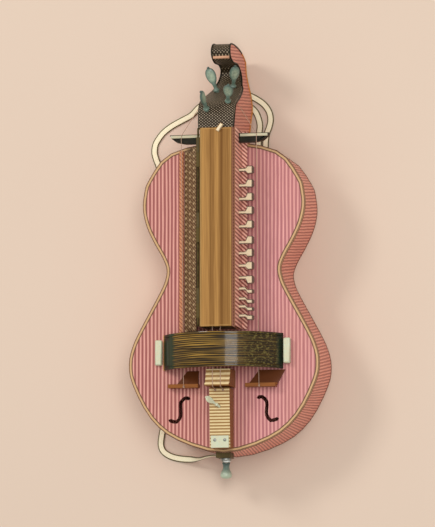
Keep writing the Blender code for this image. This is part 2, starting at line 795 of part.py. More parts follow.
def make_crank(finishes):
    """The arm with its pin in one piece, and the handle that turns on the pin."""
    arm_high = along(-GAP - TAIL_BEARING_LENGTH - GAP)
    arm_low = arm_high - CRANK_ARM_THICKNESS
    way = Vector((-math.sin(CRANK_TURN), -math.cos(CRANK_TURN)))
    pin = Vector((0.0, AXLE_Z)) + way * CRANK_THROW
    down = math.atan2(way.y, way.x)
    spread = math.asin(CRANK_ARM_WIDTH / (2 * CRANK_HUB_RADIUS))
    hub = arc((0.0, AXLE_Z), CRANK_HUB_RADIUS, down + spread, down + 2 * math.pi - spread, 18)
    end = arc(pin, CRANK_ARM_WIDTH / 2, down - math.pi / 2, down + math.pi / 2, 8)
    bore = arc((0.0, AXLE_Z), AXLE_RADIUS + GAP, 0.0, 2 * math.pi, 20)[:-1]
    arm = solid_plate("crank_arm", [hub + end, bore], arm_low, arm_high, "XZ")
    handle_end = along(-CRANK_REACH)
    handle_start = arm_low - GAP
    length = handle_start - handle_end
    cap = HANDLE_CAP_LENGTH
    pin_rod = rod(
        "crank_pin",
        (pin.x, arm_high - CRANK_ARM_THICKNESS / 2, pin.y),
        (pin.x, handle_end + cap + GAP, pin.y),
        HANDLE_PIN_RADIUS,
        sides=14,
    )
    set_origin(arm, (0.0, arm_high, AXLE_Z))
    join(arm, pin_rod)
    hole = HANDLE_PIN_RADIUS + GAP
    profile = [(0.0, cap), (hole, cap), (hole, length)]
    profile += [(HANDLE_RADIUS * wide, length * (1 - far)) for far, wide in HANDLE_SHARES]
    profile += [(0.0, 0.0)]
    handle = turned("crank_handle", profile, (pin.x, handle_end, pin.y), (0, 1, 0), 20)
    paint(finishes["plain"], arm)
    paint(finishes["peg"], handle)


def make_cover(finishes):
    half = COVER_CHORD / 2
    base = TOP + GAP
    radius = (half**2 + COVER_RISE**2) / (2 * COVER_RISE)
    centre = (0.0, base + COVER_RISE - radius)
    drop = radius - COVER_RISE
    outer_angle = math.asin(drop / radius)
    inner_radius = radius - COVER_WALL
    inner_angle = math.asin(drop / inner_radius)
    outer = arc(centre, radius, outer_angle, math.pi - outer_angle, COVER_STEPS)
    inner = arc(centre, inner_radius, math.pi - inner_angle, inner_angle, COVER_STEPS)
    low = along(WHEEL_DISTANCE - COVER_WIDTH / 2)
    cover = plate("wheel_cover", [outer + inner], low, low + COVER_WIDTH, "XZ")
    paint(finishes["cover"], cover)
    for side, name in ((-1, "left"), (1, "right")):
        near = side * (half + GAP)
        far = side * (half + GAP + SEAT_WIDTH)
        seat = box(
            f"cover_seat_{name}",
            (min(near, far), along(WHEEL_DISTANCE - SEAT_LENGTH / 2), base),
            (max(near, far), along(WHEEL_DISTANCE + SEAT_LENGTH / 2), base + SEAT_HEIGHT),
        )
        soften(seat, SEAT_HEIGHT / 8)
        paint(finishes["seat"], seat)


def key_slots(name, low_x, high_x):
    """One cutter for all the key slots of a wall."""
    reach = KEY_SECTION / 2 + KEY_CLEARANCE
    middle_x = (low_x + high_x) / 2
    half_x = (high_x - low_x) / 2 + OVERRUN
    edit = bmesh.new()
    for share, _, _ in KEY_SHARES:
        place = Vector((middle_x, along(KEYBOX_DISTANCE + share * KEYBOX_LENGTH), TOP + KEY_HEIGHT))
        size = (2 * half_x, 2 * reach, 2 * reach, 1.0)
        bmesh.ops.create_cube(edit, size=1.0, matrix=Matrix.Translation(place) @ Matrix.Diagonal(size))
    return from_bmesh(name, edit)


def knuckle(name, centre_y, foot):
    """One knuckle of the lid's hinge: a bored barrel with a foot, as an outline extruded along the hinge."""
    hub = (HINGE_X, HINGE_Z)
    bore = arc(hub, HINGE_PIN_RADIUS + GAP, 0.0, 2 * math.pi, 12)[:-1]
    low = centre_y - KNUCKLE_LENGTH / 2
    return solid_plate(name, [foot, bore], low, low + KNUCKLE_LENGTH, "XZ")


def make_keybox(finishes):
    start = KEYBOX_LOW_Y
    end = KEYBOX_HIGH_Y
    floor = box(
        "keybox_floor",
        (-HALF_LID - BASS_WALL, start, TOP + GAP),
        (KEY_WALL_OUTER + FLOOR_LIP, end, FLOOR_TOP),
    )
    foot = FLOOR_TOP + GAP
    bass_wall = box("keybox_bass_wall", (-HALF_LID, start, foot), (-HALF_LID + BASS_WALL, end, WALL_TOP))
    ledge = [
        (KEY_WALL_INNER, foot),
        (KEY_WALL_OUTER, foot),
        (KEY_WALL_OUTER, LID_TOP),
        (HALF_LID + GAP, LID_TOP),
        (HALF_LID + GAP, WALL_TOP),
        (KEY_WALL_INNER, WALL_TOP),
    ]
    key_wall = solid_plate("keybox_key_wall", [ledge], start, end, "XZ")
    cut(key_wall, key_slots("key_wall_slots", KEY_WALL_INNER, KEY_WALL_OUTER))
    cut(bass_wall, key_slots("bass_wall_slots", -HALF_LID, -HALF_LID + BASS_WALL))
    wheel_end = box(
        "keybox_wheel_end",
        (-HALF_LID + BASS_WALL + GAP, start, foot),
        (KEY_WALL_INNER - GAP, start + BASS_WALL, LID_TOP - WHEEL_END_DROP),
    )
    apron_foot_x = -HALF_LID - APRON_SPREAD
    apron_top = (-HALF_LID - APRON_TOP_GAP, LID_TOP - APRON_TOP_DROP)
    base = TOP + GAP
    apron_outline = [
        (apron_foot_x, base),
        (apron_foot_x + APRON_THICKNESS, base),
        (apron_top[0], apron_top[1] - APRON_THICKNESS),
        apron_top,
        (apron_top[0] - GAP, apron_top[1]),
    ]
    apron = plate("keybox_apron", [apron_outline], along(APRON_START), along(APRON_END), "XZ")
    bead_middle = apron_foot_x - GAP - MOULDING_WIDTH / 2
    bead_half = MOULDING_WIDTH / 2
    bead_rise = MOULDING_HEIGHT / 2
    bead = [(bead_middle + bead_half, base)]
    bead += [
        (bead_middle + bead_half * math.cos(a), base + bead_rise * (1 + math.sin(a)))
        for a in np.linspace(0.0, math.pi, BEAD_STEPS)
    ]
    bead += [(bead_middle - bead_half, base)]
    moulding = plate("apron_moulding", [bead], along(APRON_START), along(APRON_END), "XZ")
    paint(finishes["rib"], floor, key_wall)
    paint(finishes["plain"], bass_wall, wheel_end)
    paint(finishes["dark"], apron)
    paint(finishes["moulding"], moulding)
    return bass_wall


def make_lid(finishes, bass_wall):
    """The lid on its long hinge, with knuckles on the lid and on the bass wall by turns."""
    lid = box("keybox_lid", (-HALF_LID, KEYBOX_LOW_Y, LID_LOW), (HALF_LID, KEYBOX_HIGH_Y, LID_TOP))
    hub = (HINGE_X, HINGE_Z)
    reach = math.asin(KNUCKLE_WEB / 2 / KNUCKLE_RADIUS)
    lid_foot = arc(hub, KNUCKLE_RADIUS, reach, 2 * math.pi - reach, 14)
    lid_foot += [
        (-HALF_LID + KNUCKLE_WEB, HINGE_Z - KNUCKLE_WEB / 2),
        (-HALF_LID + KNUCKLE_WEB, HINGE_Z + KNUCKLE_WEB / 2),
    ]
    side_gap = KNUCKLE_RADIUS - GAP
    lean = math.acos(side_gap / KNUCKLE_RADIUS)
    wall_foot = arc(hub, KNUCKLE_RADIUS, -lean, math.pi + math.asin(0.5), 14)
    wall_foot += [
        (HINGE_X - KNUCKLE_RADIUS / 2, WALL_TOP - KNUCKLE_FOOT / 2),
        (-HALF_LID + KNUCKLE_WEB, WALL_TOP - KNUCKLE_FOOT),
        (-HALF_LID + KNUCKLE_WEB, WALL_TOP),
        (HINGE_X + side_gap, WALL_TOP),
    ]
    shares = LID_KNUCKLE_SHARES
    for number, share in enumerate(shares):
        centre = KEYBOX_LOW_Y + share * KEYBOX_LENGTH
        join(lid, knuckle(f"lid_knuckle_{number}", centre, lid_foot))
        join(bass_wall, knuckle(f"wall_knuckle_{number}", centre + KNUCKLE_LENGTH + GAP, wall_foot))
    pull_size = Vector((PULL_LENGTH, PULL_WIDTH, PULL_THICKNESS + GAP))
    pull = box("lid_pull", -pull_size / 2, pull_size / 2)
    place = Matrix.Translation((PULL_LENGTH / 2, KEYBOX_HIGH_Y + GAP, LID_TOP + PULL_THICKNESS / 2))
    pull.matrix_world = place @ Matrix.Rotation(PULL_TURN, 4, "Z")
    under = box(
        "pull_underside",
        (-LID_WIDTH, KEYBOX_HIGH_Y, LID_LOW),
        (LID_WIDTH, KEYBOX_HIGH_Y + PULL_LENGTH, LID_TOP + GAP),
    )
    cut(pull, under)
    join(lid, pull)
    set_origin(lid, (HINGE_X, KEYBOX_LOW_Y, HINGE_Z))
    pin = rod(
        "lid_hinge_pin",
        (HINGE_X, KEYBOX_LOW_Y + GAP, HINGE_Z),
        (HINGE_X, KEYBOX_HIGH_Y - GAP, HINGE_Z),
        HINGE_PIN_RADIUS,
        sides=12,
    )
    paint(finishes["lid"], lid)
    paint(finishes["brass"], pin)


def make_key(number, share, head_offset, head_share, finishes):
    """A key: its flat plan outline with a head, and two tangents that stand beside the melody strings."""
    name = f"key_{number:02d}"
    middle = along(KEYBOX_DISTANCE + share * KEYBOX_LENGTH)
    half = KEY_SECTION / 2
    head = middle + head_offset * HEAD_WIDTH
    head_half = head_share * HEAD_WIDTH / 2
    tail_x = -HALF_LID - KEY_TAIL
    head_x = KEY_WALL_OUTER + HEAD_REACH
    end_x = head_x + HEAD_LENGTH
    corner = head_half * HEAD_CORNER_SHARE
    outline = [
        (tail_x, middle - half),
        (head_x - HEAD_FLARE, middle - half),
        (head_x, head - head_half),
        (end_x - corner, head - head_half),
        (end_x, head - head_half + corner),
        (end_x, head + head_half - corner),
        (end_x - corner, head + head_half),
        (head_x, head + head_half),
        (head_x - HEAD_FLARE, middle + half),
        (tail_x, middle + half),
    ]
    low = TOP + KEY_HEIGHT - half
    key = solid_plate(name, [outline], low, low + KEY_SECTION)
    for side, word in ((-1, "left"), (1, "right")):
        face = side * MELODY_SPREAD / 2 + STRING_RADIUS + KEY_TRAVEL + GAP
        tangent = box(
            f"{name}_tangent_{word}",
            (face, middle - TANGENT_WIDTH / 2, low + half),
            (face + TANGENT_THICKNESS, middle + TANGENT_WIDTH / 2, LID_LOW - TANGENT_LID_GAP),
        )
        join(key, tangent)
    set_origin(key, (KEY_WALL_OUTER, middle, TOP + KEY_HEIGHT))
    paint(finishes["bone"], key)


def pegbox_point(share):
    """A point on the pegbox's side view, as (y, z), from its shares."""
    return (PEGBOX_Y + share[0] * PEGBOX_LENGTH, PEGBOX_LOW + share[1] * PEGBOX_RISE)


def pegbox_side():
    return smooth([pegbox_point(s) for s in FRONT_SHARES + BACK_SHARES], PROFILE_STEPS)


def front_line():
    """The part of the side view that runs along the pegbox's front, as far as the plate reaches."""
    line = smooth([pegbox_point(s) for s in FRONT_SHARES], PROFILE_STEPS)
    last = PEGBOX_Y + PEG_PLATE_SHARE * PEGBOX_LENGTH
    kept = []
    for before, point in zip([None] + line, line):
        if point[0] > last:
            share = (last - before[0]) / (point[0] - before[0])
            kept.append((last, before[1] + share * (point[1] - before[1])))
            break
        kept.append(point)
    return kept


def shifted(line, distance):
    """An open line of (y, z) points moved to its left by this distance."""
    points = np.array(line)
    ways = np.gradient(points, axis=0)
    ways /= np.linalg.norm(ways, axis=1)[:, None]
    return [tuple(p) for p in points + np.column_stack([-ways[:, 1], ways[:, 0]]) * distance]


def plan_outline(narrowed=0.0):
    """The pegbox's plan as (x, y), a little longer than the pegbox at both ends."""
    half = PEGBOX_WIDTH / 2
    line = smooth([(w * half - narrowed, PEGBOX_Y + y * PEGBOX_LENGTH) for y, w in PLAN_SHARES], 2)
    wide = line[0][0]
    thin = line[-1][0]
    line = [(wide, PEGBOX_Y - PEGBOX_LENGTH)] + line + [(thin, PEGBOX_Y + 2 * PEGBOX_LENGTH)]
    return line + [(-x, y) for x, y in reversed(line)]


def plan_fit(name, narrowed=0.0):
    return solid_plate(name, [plan_outline(narrowed)], PEGBOX_LOW - OVERRUN, LID_TOP + PEGBOX_RISE)


def peg_mesh():
    """A peg that stands on its foot at zero: a tapered shaft, a neck, a collar and a flat head."""
    low = (0, 0, -PEG_SHAFT_LENGTH)
    shaft = rod("peg_shape", low, (0, 0, PEG_NECK_LENGTH), PEG_TIP_RADIUS, PEG_SHAFT_RADIUS, PEG_SIDES)
    collar_top = (0, 0, GAP + PEG_COLLAR_LENGTH)
    collar = rod("peg_collar", (0, 0, GAP), collar_top, PEG_COLLAR_RADIUS, sides=PEG_SIDES)
    edit = bmesh.new()
    bmesh.ops.create_uvsphere(edit, u_segments=PEG_SIDES, v_segments=8, radius=1.0)
    size = (PEG_HEAD_WIDTH / 2, PEG_HEAD_THICKNESS / 2, PEG_HEAD_LENGTH / 2)
    bmesh.ops.scale(edit, vec=size, verts=edit.verts)
    head = from_bmesh("peg_head", edit)
    head.location = (0, 0, PEG_NECK_LENGTH + PEG_HEAD_SEAT_SHARE * PEG_HEAD_LENGTH)
    join(shaft, collar, head)
    mesh = baked(set_origin(shaft, (0, 0, 0))).data
    bpy.data.objects.remove(shaft)
    return mesh


def peg_matrix(foot, way, slope, turn, size=1.0):
    """Stands a peg in its hole, with its collar just clear of a face that has this slope along Y."""
    way = Vector(way).normalized()
    lean = way.angle(Vector((0.0, -slope, 1.0)))
    lift = (PEG_COLLAR_RADIUS * math.tan(lean) + GAP) * size
    facing = way.to_track_quat("Z", "Y").to_matrix().to_4x4()
    return Matrix.Translation(foot + way * lift) @ facing @ Matrix.Rotation(turn, 4, "Z")


def peg_hole(name, foot, way, size=1.0):
    """A cutter for a peg's tapered hole, a little wider and deeper than its shaft."""
    way = Vector(way).normalized() * size
    hole = rod(
        name,
        Vector(foot) - way * (PEG_SHAFT_LENGTH + GAP / size),
        Vector(foot) + way * PEG_NECK_LENGTH,
        PEG_TIP_RADIUS * size + GAP,
        PEG_SHAFT_RADIUS * size + GAP,
        16,
    )
    return hole


def make_pegbox(finishes, body_fit, peg):
    """A curved trough with a scrolled head, closed by the plate that the pegs go through."""
    side = pegbox_side()
    low = pegbox_point((0.0, HEEL_LOW_SHARE))[1]
    heel_y = along(BODY_LENGTH - HEEL_LENGTH)
    heel = [(heel_y, low), (heel_y, TOP), (PEGBOX_Y, TOP)]
    wide = PEGBOX_WIDTH
    pegbox = solid_plate("pegbox", [side + heel], -wide, wide, "YZ")
    boolean(pegbox, plan_fit("pegbox_plan"), "INTERSECT")
    cut(pegbox, body_fit)
    front = front_line()
    above = LID_TOP + PEGBOX_WIDTH
    under = shifted(front, -PEG_PLATE_THICKNESS - GAP)
    reach = PEGBOX_Y - OVERRUN
    seat = [(reach, above), (reach, under[0][1])] + under[1:]
    way = np.subtract(front[-1], front[-2])
    past = way * GAP / np.linalg.norm(way)
    lip = np.add(front[-1], past)
    seat[-1] = tuple(np.add(seat[-1], past))
    seat += [tuple(lip), (lip[0] + OVERRUN, above)]
    cut(pegbox, solid_plate("plate_seat", [seat], -wide, wide, "YZ"))
    floor = [pegbox_point(share) for share in CAVITY_SHARES]
    floor[0] = (reach, floor[0][1])
    pocket = solid_plate("cavity", [floor + [(floor[-1][0], above), (reach, above)]], -wide, wide, "YZ")
    boolean(pocket, plan_fit("cavity_plan", PEGBOX_WALL), "INTERSECT")
    cut(pegbox, pocket)
    face_under = shifted(front, -PEG_PLATE_THICKNESS)
    face_under[0] = (front[0][0], front[0][1] - PEG_PLATE_THICKNESS)
    face = solid_plate("pegbox_face", [front + face_under[::-1]], -wide, wide, "YZ")
    boolean(face, plan_fit("face_plan"), "INTERSECT")
    line = np.array(front)
    slopes = np.gradient(line[:, 1], line[:, 0])
    for number, (x_share, y_share, way, turn) in enumerate(PEG_SHARES, 1):
        y = PEGBOX_Y + y_share * PEGBOX_LENGTH
        foot = Vector((x_share * PEGBOX_WIDTH / 2, y, float(np.interp(y, line[:, 0], line[:, 1]))))
        slope = float(np.interp(y, line[:, 0], slopes))
        hole = peg_hole(f"peg_hole_{number}", foot, way)
        cut(pegbox, hole)
        cut(face, hole)
        pin = link(bpy.data.objects.new(f"peg_{number}", peg))
        pin.matrix_world = peg_matrix(foot, way, slope, turn)
    y, z = pegbox_point(DRONE_HOLE_SHARES)
    cut(pegbox, rod("drone_hole_cutter", (-wide, y, z), (wide, y, z), DRONE_HOLE_RADIUS, sides=10))
    paint(finishes["rib"], pegbox)
    paint(finishes["dark"], face)


def make_nuts(finishes):
    nut_y = KEYBOX_HIGH_Y - NUT_INSET
    nut = box(
        "melody_nut",
        (-HALF_LID + BASS_WALL + GAP, nut_y - NUT_THICKNESS, FLOOR_TOP + GAP),
        (KEY_WALL_INNER - GAP, nut_y, LID_TOP - NUT_DROP),
    )
    paint(finishes["bone"], nut)
    high_y = nut_y + NUT_STRIP_LENGTH / 2 - NUT_THICKNESS
    low_y = high_y - NUT_BAR_LENGTH
    bar_top = TOP + NUT_BAR_HEIGHT
    for side, name, inner in ((-1, "left", HALF_LID), (1, "right", KEY_WALL_OUTER)):
        inner += GAP
        span = NUT_BAR_REACH - inner
        outline = [(inner + a * span, low_y + b * NUT_BAR_LENGTH) for a, b in NUT_BAR_SHARES]
        outline += [(inner, high_y)]
        outline = [(side * x, y) for x, y in outline]
        bar = solid_plate(f"nut_bar_{name}", [outline], bar_top - NUT_BAR_THICKNESS, bar_top)
        ends = sorted((side * (inner + OVERRUN), side * (NUT_BAR_REACH - OVERRUN)))
        strip = box(
            f"nut_strip_{name}",
            (ends[0], high_y - NUT_STRIP_LENGTH, bar_top - NUT_STRIP_RISE),
            (ends[1], high_y - GAP, bar_top + NUT_STRIP_RISE),
        )
        join(bar, strip)
        paint(finishes["ebony"], bar)
    return high_y - NUT_STRIP_LENGTH / 2


def make_bridges(finishes):
    half = BRIDGE_WIDTH / 2
    base = TOP + GAP
    low = along(BRIDGE_DISTANCE)
    end = along(BRIDGE_END)
    saddle = TOP + SADDLE_HEIGHT
    step = (BRIDGE_END - BRIDGE_DISTANCE - SADDLE_LENGTH) / BRIDGE_STEPS
    rise = (SADDLE_HEIGHT - BRIDGE_FOOT_HEIGHT) / (BRIDGE_STEPS + 1)
    profile = [(low, base), (end, base)]
    for number in range(BRIDGE_STEPS):
        height = TOP + BRIDGE_FOOT_HEIGHT + number * rise
        profile += [(end - number * step, height), (end - (number + 1) * step, height)]
    profile += [(low + SADDLE_LENGTH, saddle), (low + GAP, saddle), (low, saddle - rise)]
    bridge = plate("melody_bridge", [profile], -half, half, "YZ")
    paint(finishes["bone"], bridge)
    bar_low = DRONE_BRIDGE_DISTANCE - DRONE_BRIDGE_LENGTH / 2
    bar_high = DRONE_BRIDGE_DISTANCE + DRONE_BRIDGE_LENGTH / 2
    for side, name in ((-1, "left"), (1, "right")):
        ends = sorted((side * DRONE_BRIDGE_INNER, side * DRONE_BRIDGE_OUTER))
        span = ends[1] - ends[0]
        bar = box(
            f"drone_bridge_{name}",
            (ends[0], along(bar_low), base),
            (ends[1], along(bar_high), TOP + DRONE_BRIDGE_HEIGHT),
        )
        near_low, near_high, far_low, far_high = [ends[0] + s * span for s in WEDGE_SHARES[name]]
        slope = [
            (along(DRONE_BRIDGE_DISTANCE), base + GAP),
            (along(WEDGE_END), base + GAP),
            (along(WEDGE_END), base + WEDGE_TOE),
            (along(DRONE_BRIDGE_DISTANCE), TOP + WEDGE_HEIGHT),
        ]
        wedge = solid_plate(f"wedge_{name}", [slope], near_low - OVERRUN, far_high + OVERRUN, "YZ")
        plan = [
            (near_low, along(bar_low)),
            (near_high, along(bar_low)),
            (far_high, along(WEDGE_END + OVERRUN)),
            (far_low, along(WEDGE_END + OVERRUN)),
        ]
        plan_top = TOP + DRONE_BRIDGE_HEIGHT + OVERRUN
        plan_cut = solid_plate(f"wedge_plan_{name}", [plan], TOP - OVERRUN, plan_top)
        boolean(wedge, plan_cut, "INTERSECT")
        join(bar, wedge)
        paint(finishes["bridge"], bar)


def make_tailpiece(finishes, peg):
    half = TAILPIECE_WIDTH / 2
    base = TOP + GAP
    low = along(TAILPIECE_DISTANCE)
    high = along(TAILPIECE_END)
    profile = [(low, base), (high, base), (high, TOP + TAILPIECE_HEIGHT), (low, TOP + TAILPIECE_TAIL_HEIGHT)]
    tailpiece = solid_plate("tailpiece", [profile], -half, half, "YZ")
    slope = (TAILPIECE_HEIGHT - TAILPIECE_TAIL_HEIGHT) / (TAILPIECE_END - TAILPIECE_DISTANCE)
    plate_half = TAIL_PLATE_WIDTH / 2
    lift = TOP + TAILPIECE_TAIL_HEIGHT + GAP
    far = low + TAIL_PLATE_LENGTH
    rise = slope * TAIL_PLATE_LENGTH
    side = [
        (low, lift),
        (far, lift + rise),
        (far, lift + rise + TAIL_PLATE_THICKNESS),
        (low, lift + TAIL_PLATE_THICKNESS),
    ]
    tail_plate = plate("tail_plate", [side], -plate_half, plate_half, "YZ")
    y = low + TAIL_PEG_SHARES[1] * (high - low)
    foot = Vector((TAIL_PEG_SHARES[0] * half, y, TOP + TAILPIECE_TAIL_HEIGHT + slope * (y - low)))
    hole = peg_hole("tail_peg_hole", foot, TAIL_PEG_LEAN, TAIL_PEG_SCALE)
    cut(tailpiece, hole)
    tail_peg = link(bpy.data.objects.new("tail_peg", peg.copy()))
    tail_peg.data.transform(Matrix.Scale(TAIL_PEG_SCALE, 4))
    tail_peg.matrix_world = peg_matrix(foot, TAIL_PEG_LEAN, slope, TAIL_PEG_TURN, TAIL_PEG_SCALE)
    paint(finishes["bone"], tailpiece, tail_plate, tail_peg)


def tube(name, points, radius):
    curve = bpy.data.curves.new(name, "CURVE")
    curve.dimensions = "3D"
    curve.bevel_depth = radius
    curve.bevel_resolution = 1
    curve.use_fill_caps = True
    spline = curve.splines.new("POLY")
    spline.points.add(len(points) - 1)
    for point, place in zip(spline.points, points):
        point.co = (*place, 1.0)
    return link(bpy.data.objects.new(name, curve))


def make_strings(finishes, drone_nut_y):
    """Each string runs from its tie, over its bridge and the wheel, over its nut and into the pegbox."""
    lift = GAP + STRING_RADIUS
    nut_y = KEYBOX_HIGH_Y - NUT_INSET - NUT_THICKNESS / 2
    nut_z = LID_TOP - NUT_DROP + lift
    saddle_y = along(BRIDGE_DISTANCE + SADDLE_LENGTH / 2)
    saddle_z = TOP + SADDLE_HEIGHT + lift
    tie = (along(TAILPIECE_END) - OVERRUN, TOP + TAILPIECE_HEIGHT + lift)
    wheel_low = along(WHEEL_DISTANCE - WHEEL_WIDTH / 2)
    wheel_high = along(WHEEL_DISTANCE + WHEEL_WIDTH / 2)
    dip = pegbox_point(MELODY_DIP_SHARES)
    for side, name in ((-1, "left"), (1, "right")):
        x = side * MELODY_SPREAD / 2
        points = [
            (x, *tie),
            (x, along(BRIDGE_DISTANCE - STRING_OVERHANG), saddle_z),
            (x, saddle_y, saddle_z),
            (x, wheel_low, MELODY_Z),
            (x, wheel_high, MELODY_Z),
            (x, nut_y, nut_z),
            (x, KEYBOX_HIGH_Y - NUT_INSET + STRING_OVERHANG, nut_z),
            (x, *dip),
        ]
        string = tube(f"melody_string_{name}", points, STRING_RADIUS)
        x = side * DRONE_OFFSET
        hole_y, hole_z = pegbox_point(DRONE_HOLE_SHARES)
        out = side * (PEGBOX_WIDTH / 2 * max(w for _, w in PLAN_SHARES) + OVERRUN)
        drone_points = [
            (x, along(DRONE_BRIDGE_DISTANCE - DRONE_BRIDGE_LENGTH / 2), TOP + DRONE_BRIDGE_HEIGHT + lift),
            (x, along(DRONE_BRIDGE_DISTANCE), TOP + DRONE_BRIDGE_HEIGHT + lift),
            (x, wheel_low, DRONE_Z),
            (x, wheel_high, DRONE_Z),
            (x, drone_nut_y, TOP + NUT_BAR_HEIGHT + NUT_STRIP_RISE + lift),
            (out, hole_y, hole_z),
            (out - side * DRONE_TAIL, hole_y, hole_z),
        ]
        drone = tube(f"drone_string_{name}", drone_points, STRING_RADIUS)
        paint(finishes["gut"], string, drone)


def strap(name, route, body_fit, finishes):
    """A flat band along its route: an open strip given its thickness."""
    line = np.array(smooth(route, STRAP_STEPS))
    ways = np.gradient(line, axis=0)
    twist = np.clip((line[:, 2] - STRAP_LIFT) / STRAP_TWIST, 0.0, 1.0)
    facing = np.column_stack([np.zeros(len(line)), -twist, 1 - twist])
    sides = np.cross(facing, ways)
    sides *= STRAP_WIDTH / 2 / np.linalg.norm(sides, axis=1)[:, None]
    edit = bmesh.new()
    left = [edit.verts.new(p) for p in line + sides]
    right = [edit.verts.new(p) for p in line - sides]
    for i in range(len(line) - 1):
        edit.faces.new((left[i], right[i], right[i + 1], left[i + 1]))
    bmesh.ops.recalc_face_normals(edit, faces=edit.faces)
    band = from_bmesh(name, edit)
    shell = band.modifiers.new("thickness", "SOLIDIFY")
    shell.thickness = STRAP_THICKNESS
    shell.offset = 0.0
    cut(band, body_fit)
    paint(finishes["strap"], band)


def main():
    empty_scene()
    finishes = make_finishes()
    axle_hole = make_body(finishes)
    make_blocks(finishes, axle_hole)
    body_fit = make_wheel(finishes)
    make_crank(finishes)
    make_cover(finishes)
    bass_wall = make_keybox(finishes)
    make_lid(finishes, bass_wall)
    for number, (share, head_offset, head_share) in enumerate(KEY_SHARES, 1):
        make_key(number, share, head_offset, head_share, finishes)
    peg = peg_mesh()
    peg.materials.append(finishes["peg"])
    make_pegbox(finishes, body_fit, peg)
    drone_nut_y = make_nuts(finishes)
    make_bridges(finishes)
    make_tailpiece(finishes, peg)
    make_strings(finishes, drone_nut_y)
    for name, route in (("strap_neck", STRAP_NECK_ROUTE), ("strap_inner", STRAP_INNER_ROUTE)):
        strap(name, [(x, along(BODY_LENGTH + y), STRAP_LIFT) for x, y in route], body_fit, finishes)
    strap("strap_lower", [(x, along(y), z) for x, y, z in STRAP_LOWER_ROUTE], body_fit, finishes)


main()
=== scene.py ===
import json
import math

import bmesh
import bpy
from bpy.props import FloatProperty, FloatVectorProperty, PointerProperty
from mathutils import Matrix, Vector


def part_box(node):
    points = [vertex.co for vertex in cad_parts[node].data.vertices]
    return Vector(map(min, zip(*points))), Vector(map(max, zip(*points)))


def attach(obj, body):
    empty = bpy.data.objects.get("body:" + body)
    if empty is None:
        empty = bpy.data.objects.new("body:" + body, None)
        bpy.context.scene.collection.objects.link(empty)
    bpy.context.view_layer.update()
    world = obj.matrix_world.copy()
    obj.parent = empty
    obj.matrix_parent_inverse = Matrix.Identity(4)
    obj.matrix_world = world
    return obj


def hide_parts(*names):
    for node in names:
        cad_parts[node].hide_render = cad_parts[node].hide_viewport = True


bl_info = {
    "name": "Hurdy-gurdy looks",
    "version": (1, 0, 0),
    "blender": (4, 5, 0),
    "location": "3D View > Sidebar > Hurdy-gurdy",
    "description": "Dresses the hurdy-gurdy's frame with its woods, bone, strings and straps",
    "category": "Object",
}

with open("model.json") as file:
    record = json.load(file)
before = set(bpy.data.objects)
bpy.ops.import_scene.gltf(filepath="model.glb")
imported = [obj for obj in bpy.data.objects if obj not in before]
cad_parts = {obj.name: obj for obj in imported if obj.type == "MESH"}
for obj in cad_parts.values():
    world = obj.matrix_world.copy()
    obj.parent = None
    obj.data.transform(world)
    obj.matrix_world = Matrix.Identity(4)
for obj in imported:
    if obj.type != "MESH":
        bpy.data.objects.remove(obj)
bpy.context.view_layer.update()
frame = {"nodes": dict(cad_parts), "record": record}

MM = 0.001
WELD = 0.002 * MM  # how near two points are that become one
FLAT = math.radians(1)  # how far a surface may turn at an edge and still be one flat face
EDGE = math.radians(38)  # from which turn an edge is rounded
# From which turn an edge is drawn sharp, by how the piece is made
FACETED = math.radians(5)
BENT = math.radians(28)
SAWN = math.radians(35)
TURNED = math.radians(50)
CARVED = math.radians(60)
WOVEN = math.radians(70)
WORN = "worn"  # the attribute that says how worn a carving is, from 0 in its cuts to 1 on its tops; on the pegs it is partly wear and partly painted highlight and shade
WAVE_UNIT = math.pi / 10  # the Wave node's scale at which one wave is one unit long

UP = Vector((0, 0, 1))
RIGHT = Vector((1, 0, 0))
TO_PEGBOX = Vector((0, 1, 0))
SIDES = ("left", "right")

RECORD = frame["record"]
BODY_OF = {node: body for body, nodes in RECORD["behaviour"]["bodies"].items() for node in nodes}
JOINTS = {joint["name"]: joint for joint in RECORD["behaviour"]["joints"]}


def corners(node):
    """A node's lowest and highest corners."""
    low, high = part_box(node)
    return Vector(low), Vector(high)


TAIL_Y = corners("back_board")[0].y
BOARD_TOP = corners("soundboard")[1].z
WALL_TOP = corners("keybox_key_wall")[1].z
KEYBOX_START = corners("keybox_floor")[0].y
KEYBOX_END = corners("keybox_floor")[1].y


def linear(code):
    """An sRGB hex colour as linear red, green and blue."""
    found = []
    for place in (1, 3, 5):
        share = int(code[place : place + 2], 16) / 255
        found.append(share / 12.92 if share <= 0.04045 else ((share + 0.055) / 1.055) ** 2.4)
    return tuple(found)


def colour_setting(name, description, code):
    """A colour that the user may change."""
    return FloatVectorProperty(
        name=name, description=description, default=linear(code), size=3, min=0.0, max=1.0, subtype="COLOR"
    )


def length_setting(name, description, default, low, high):
    """A length that the user may change, with its lowest and its highest value, all in millimetres."""
    return FloatProperty(
        name=name,
        description=description,
        default=default * MM,
        min=low * MM,
        max=high * MM,
        subtype="DISTANCE",
        unit="LENGTH",
    )


def power_setting(name, description, default, high):
    """A lamp's power in watts, which the user may change, up to the highest."""
    return FloatProperty(
        name=name,
        description=description,
        default=default,
        min=0.0,
        max=high,
        subtype="POWER",
        unit="POWER",
    )


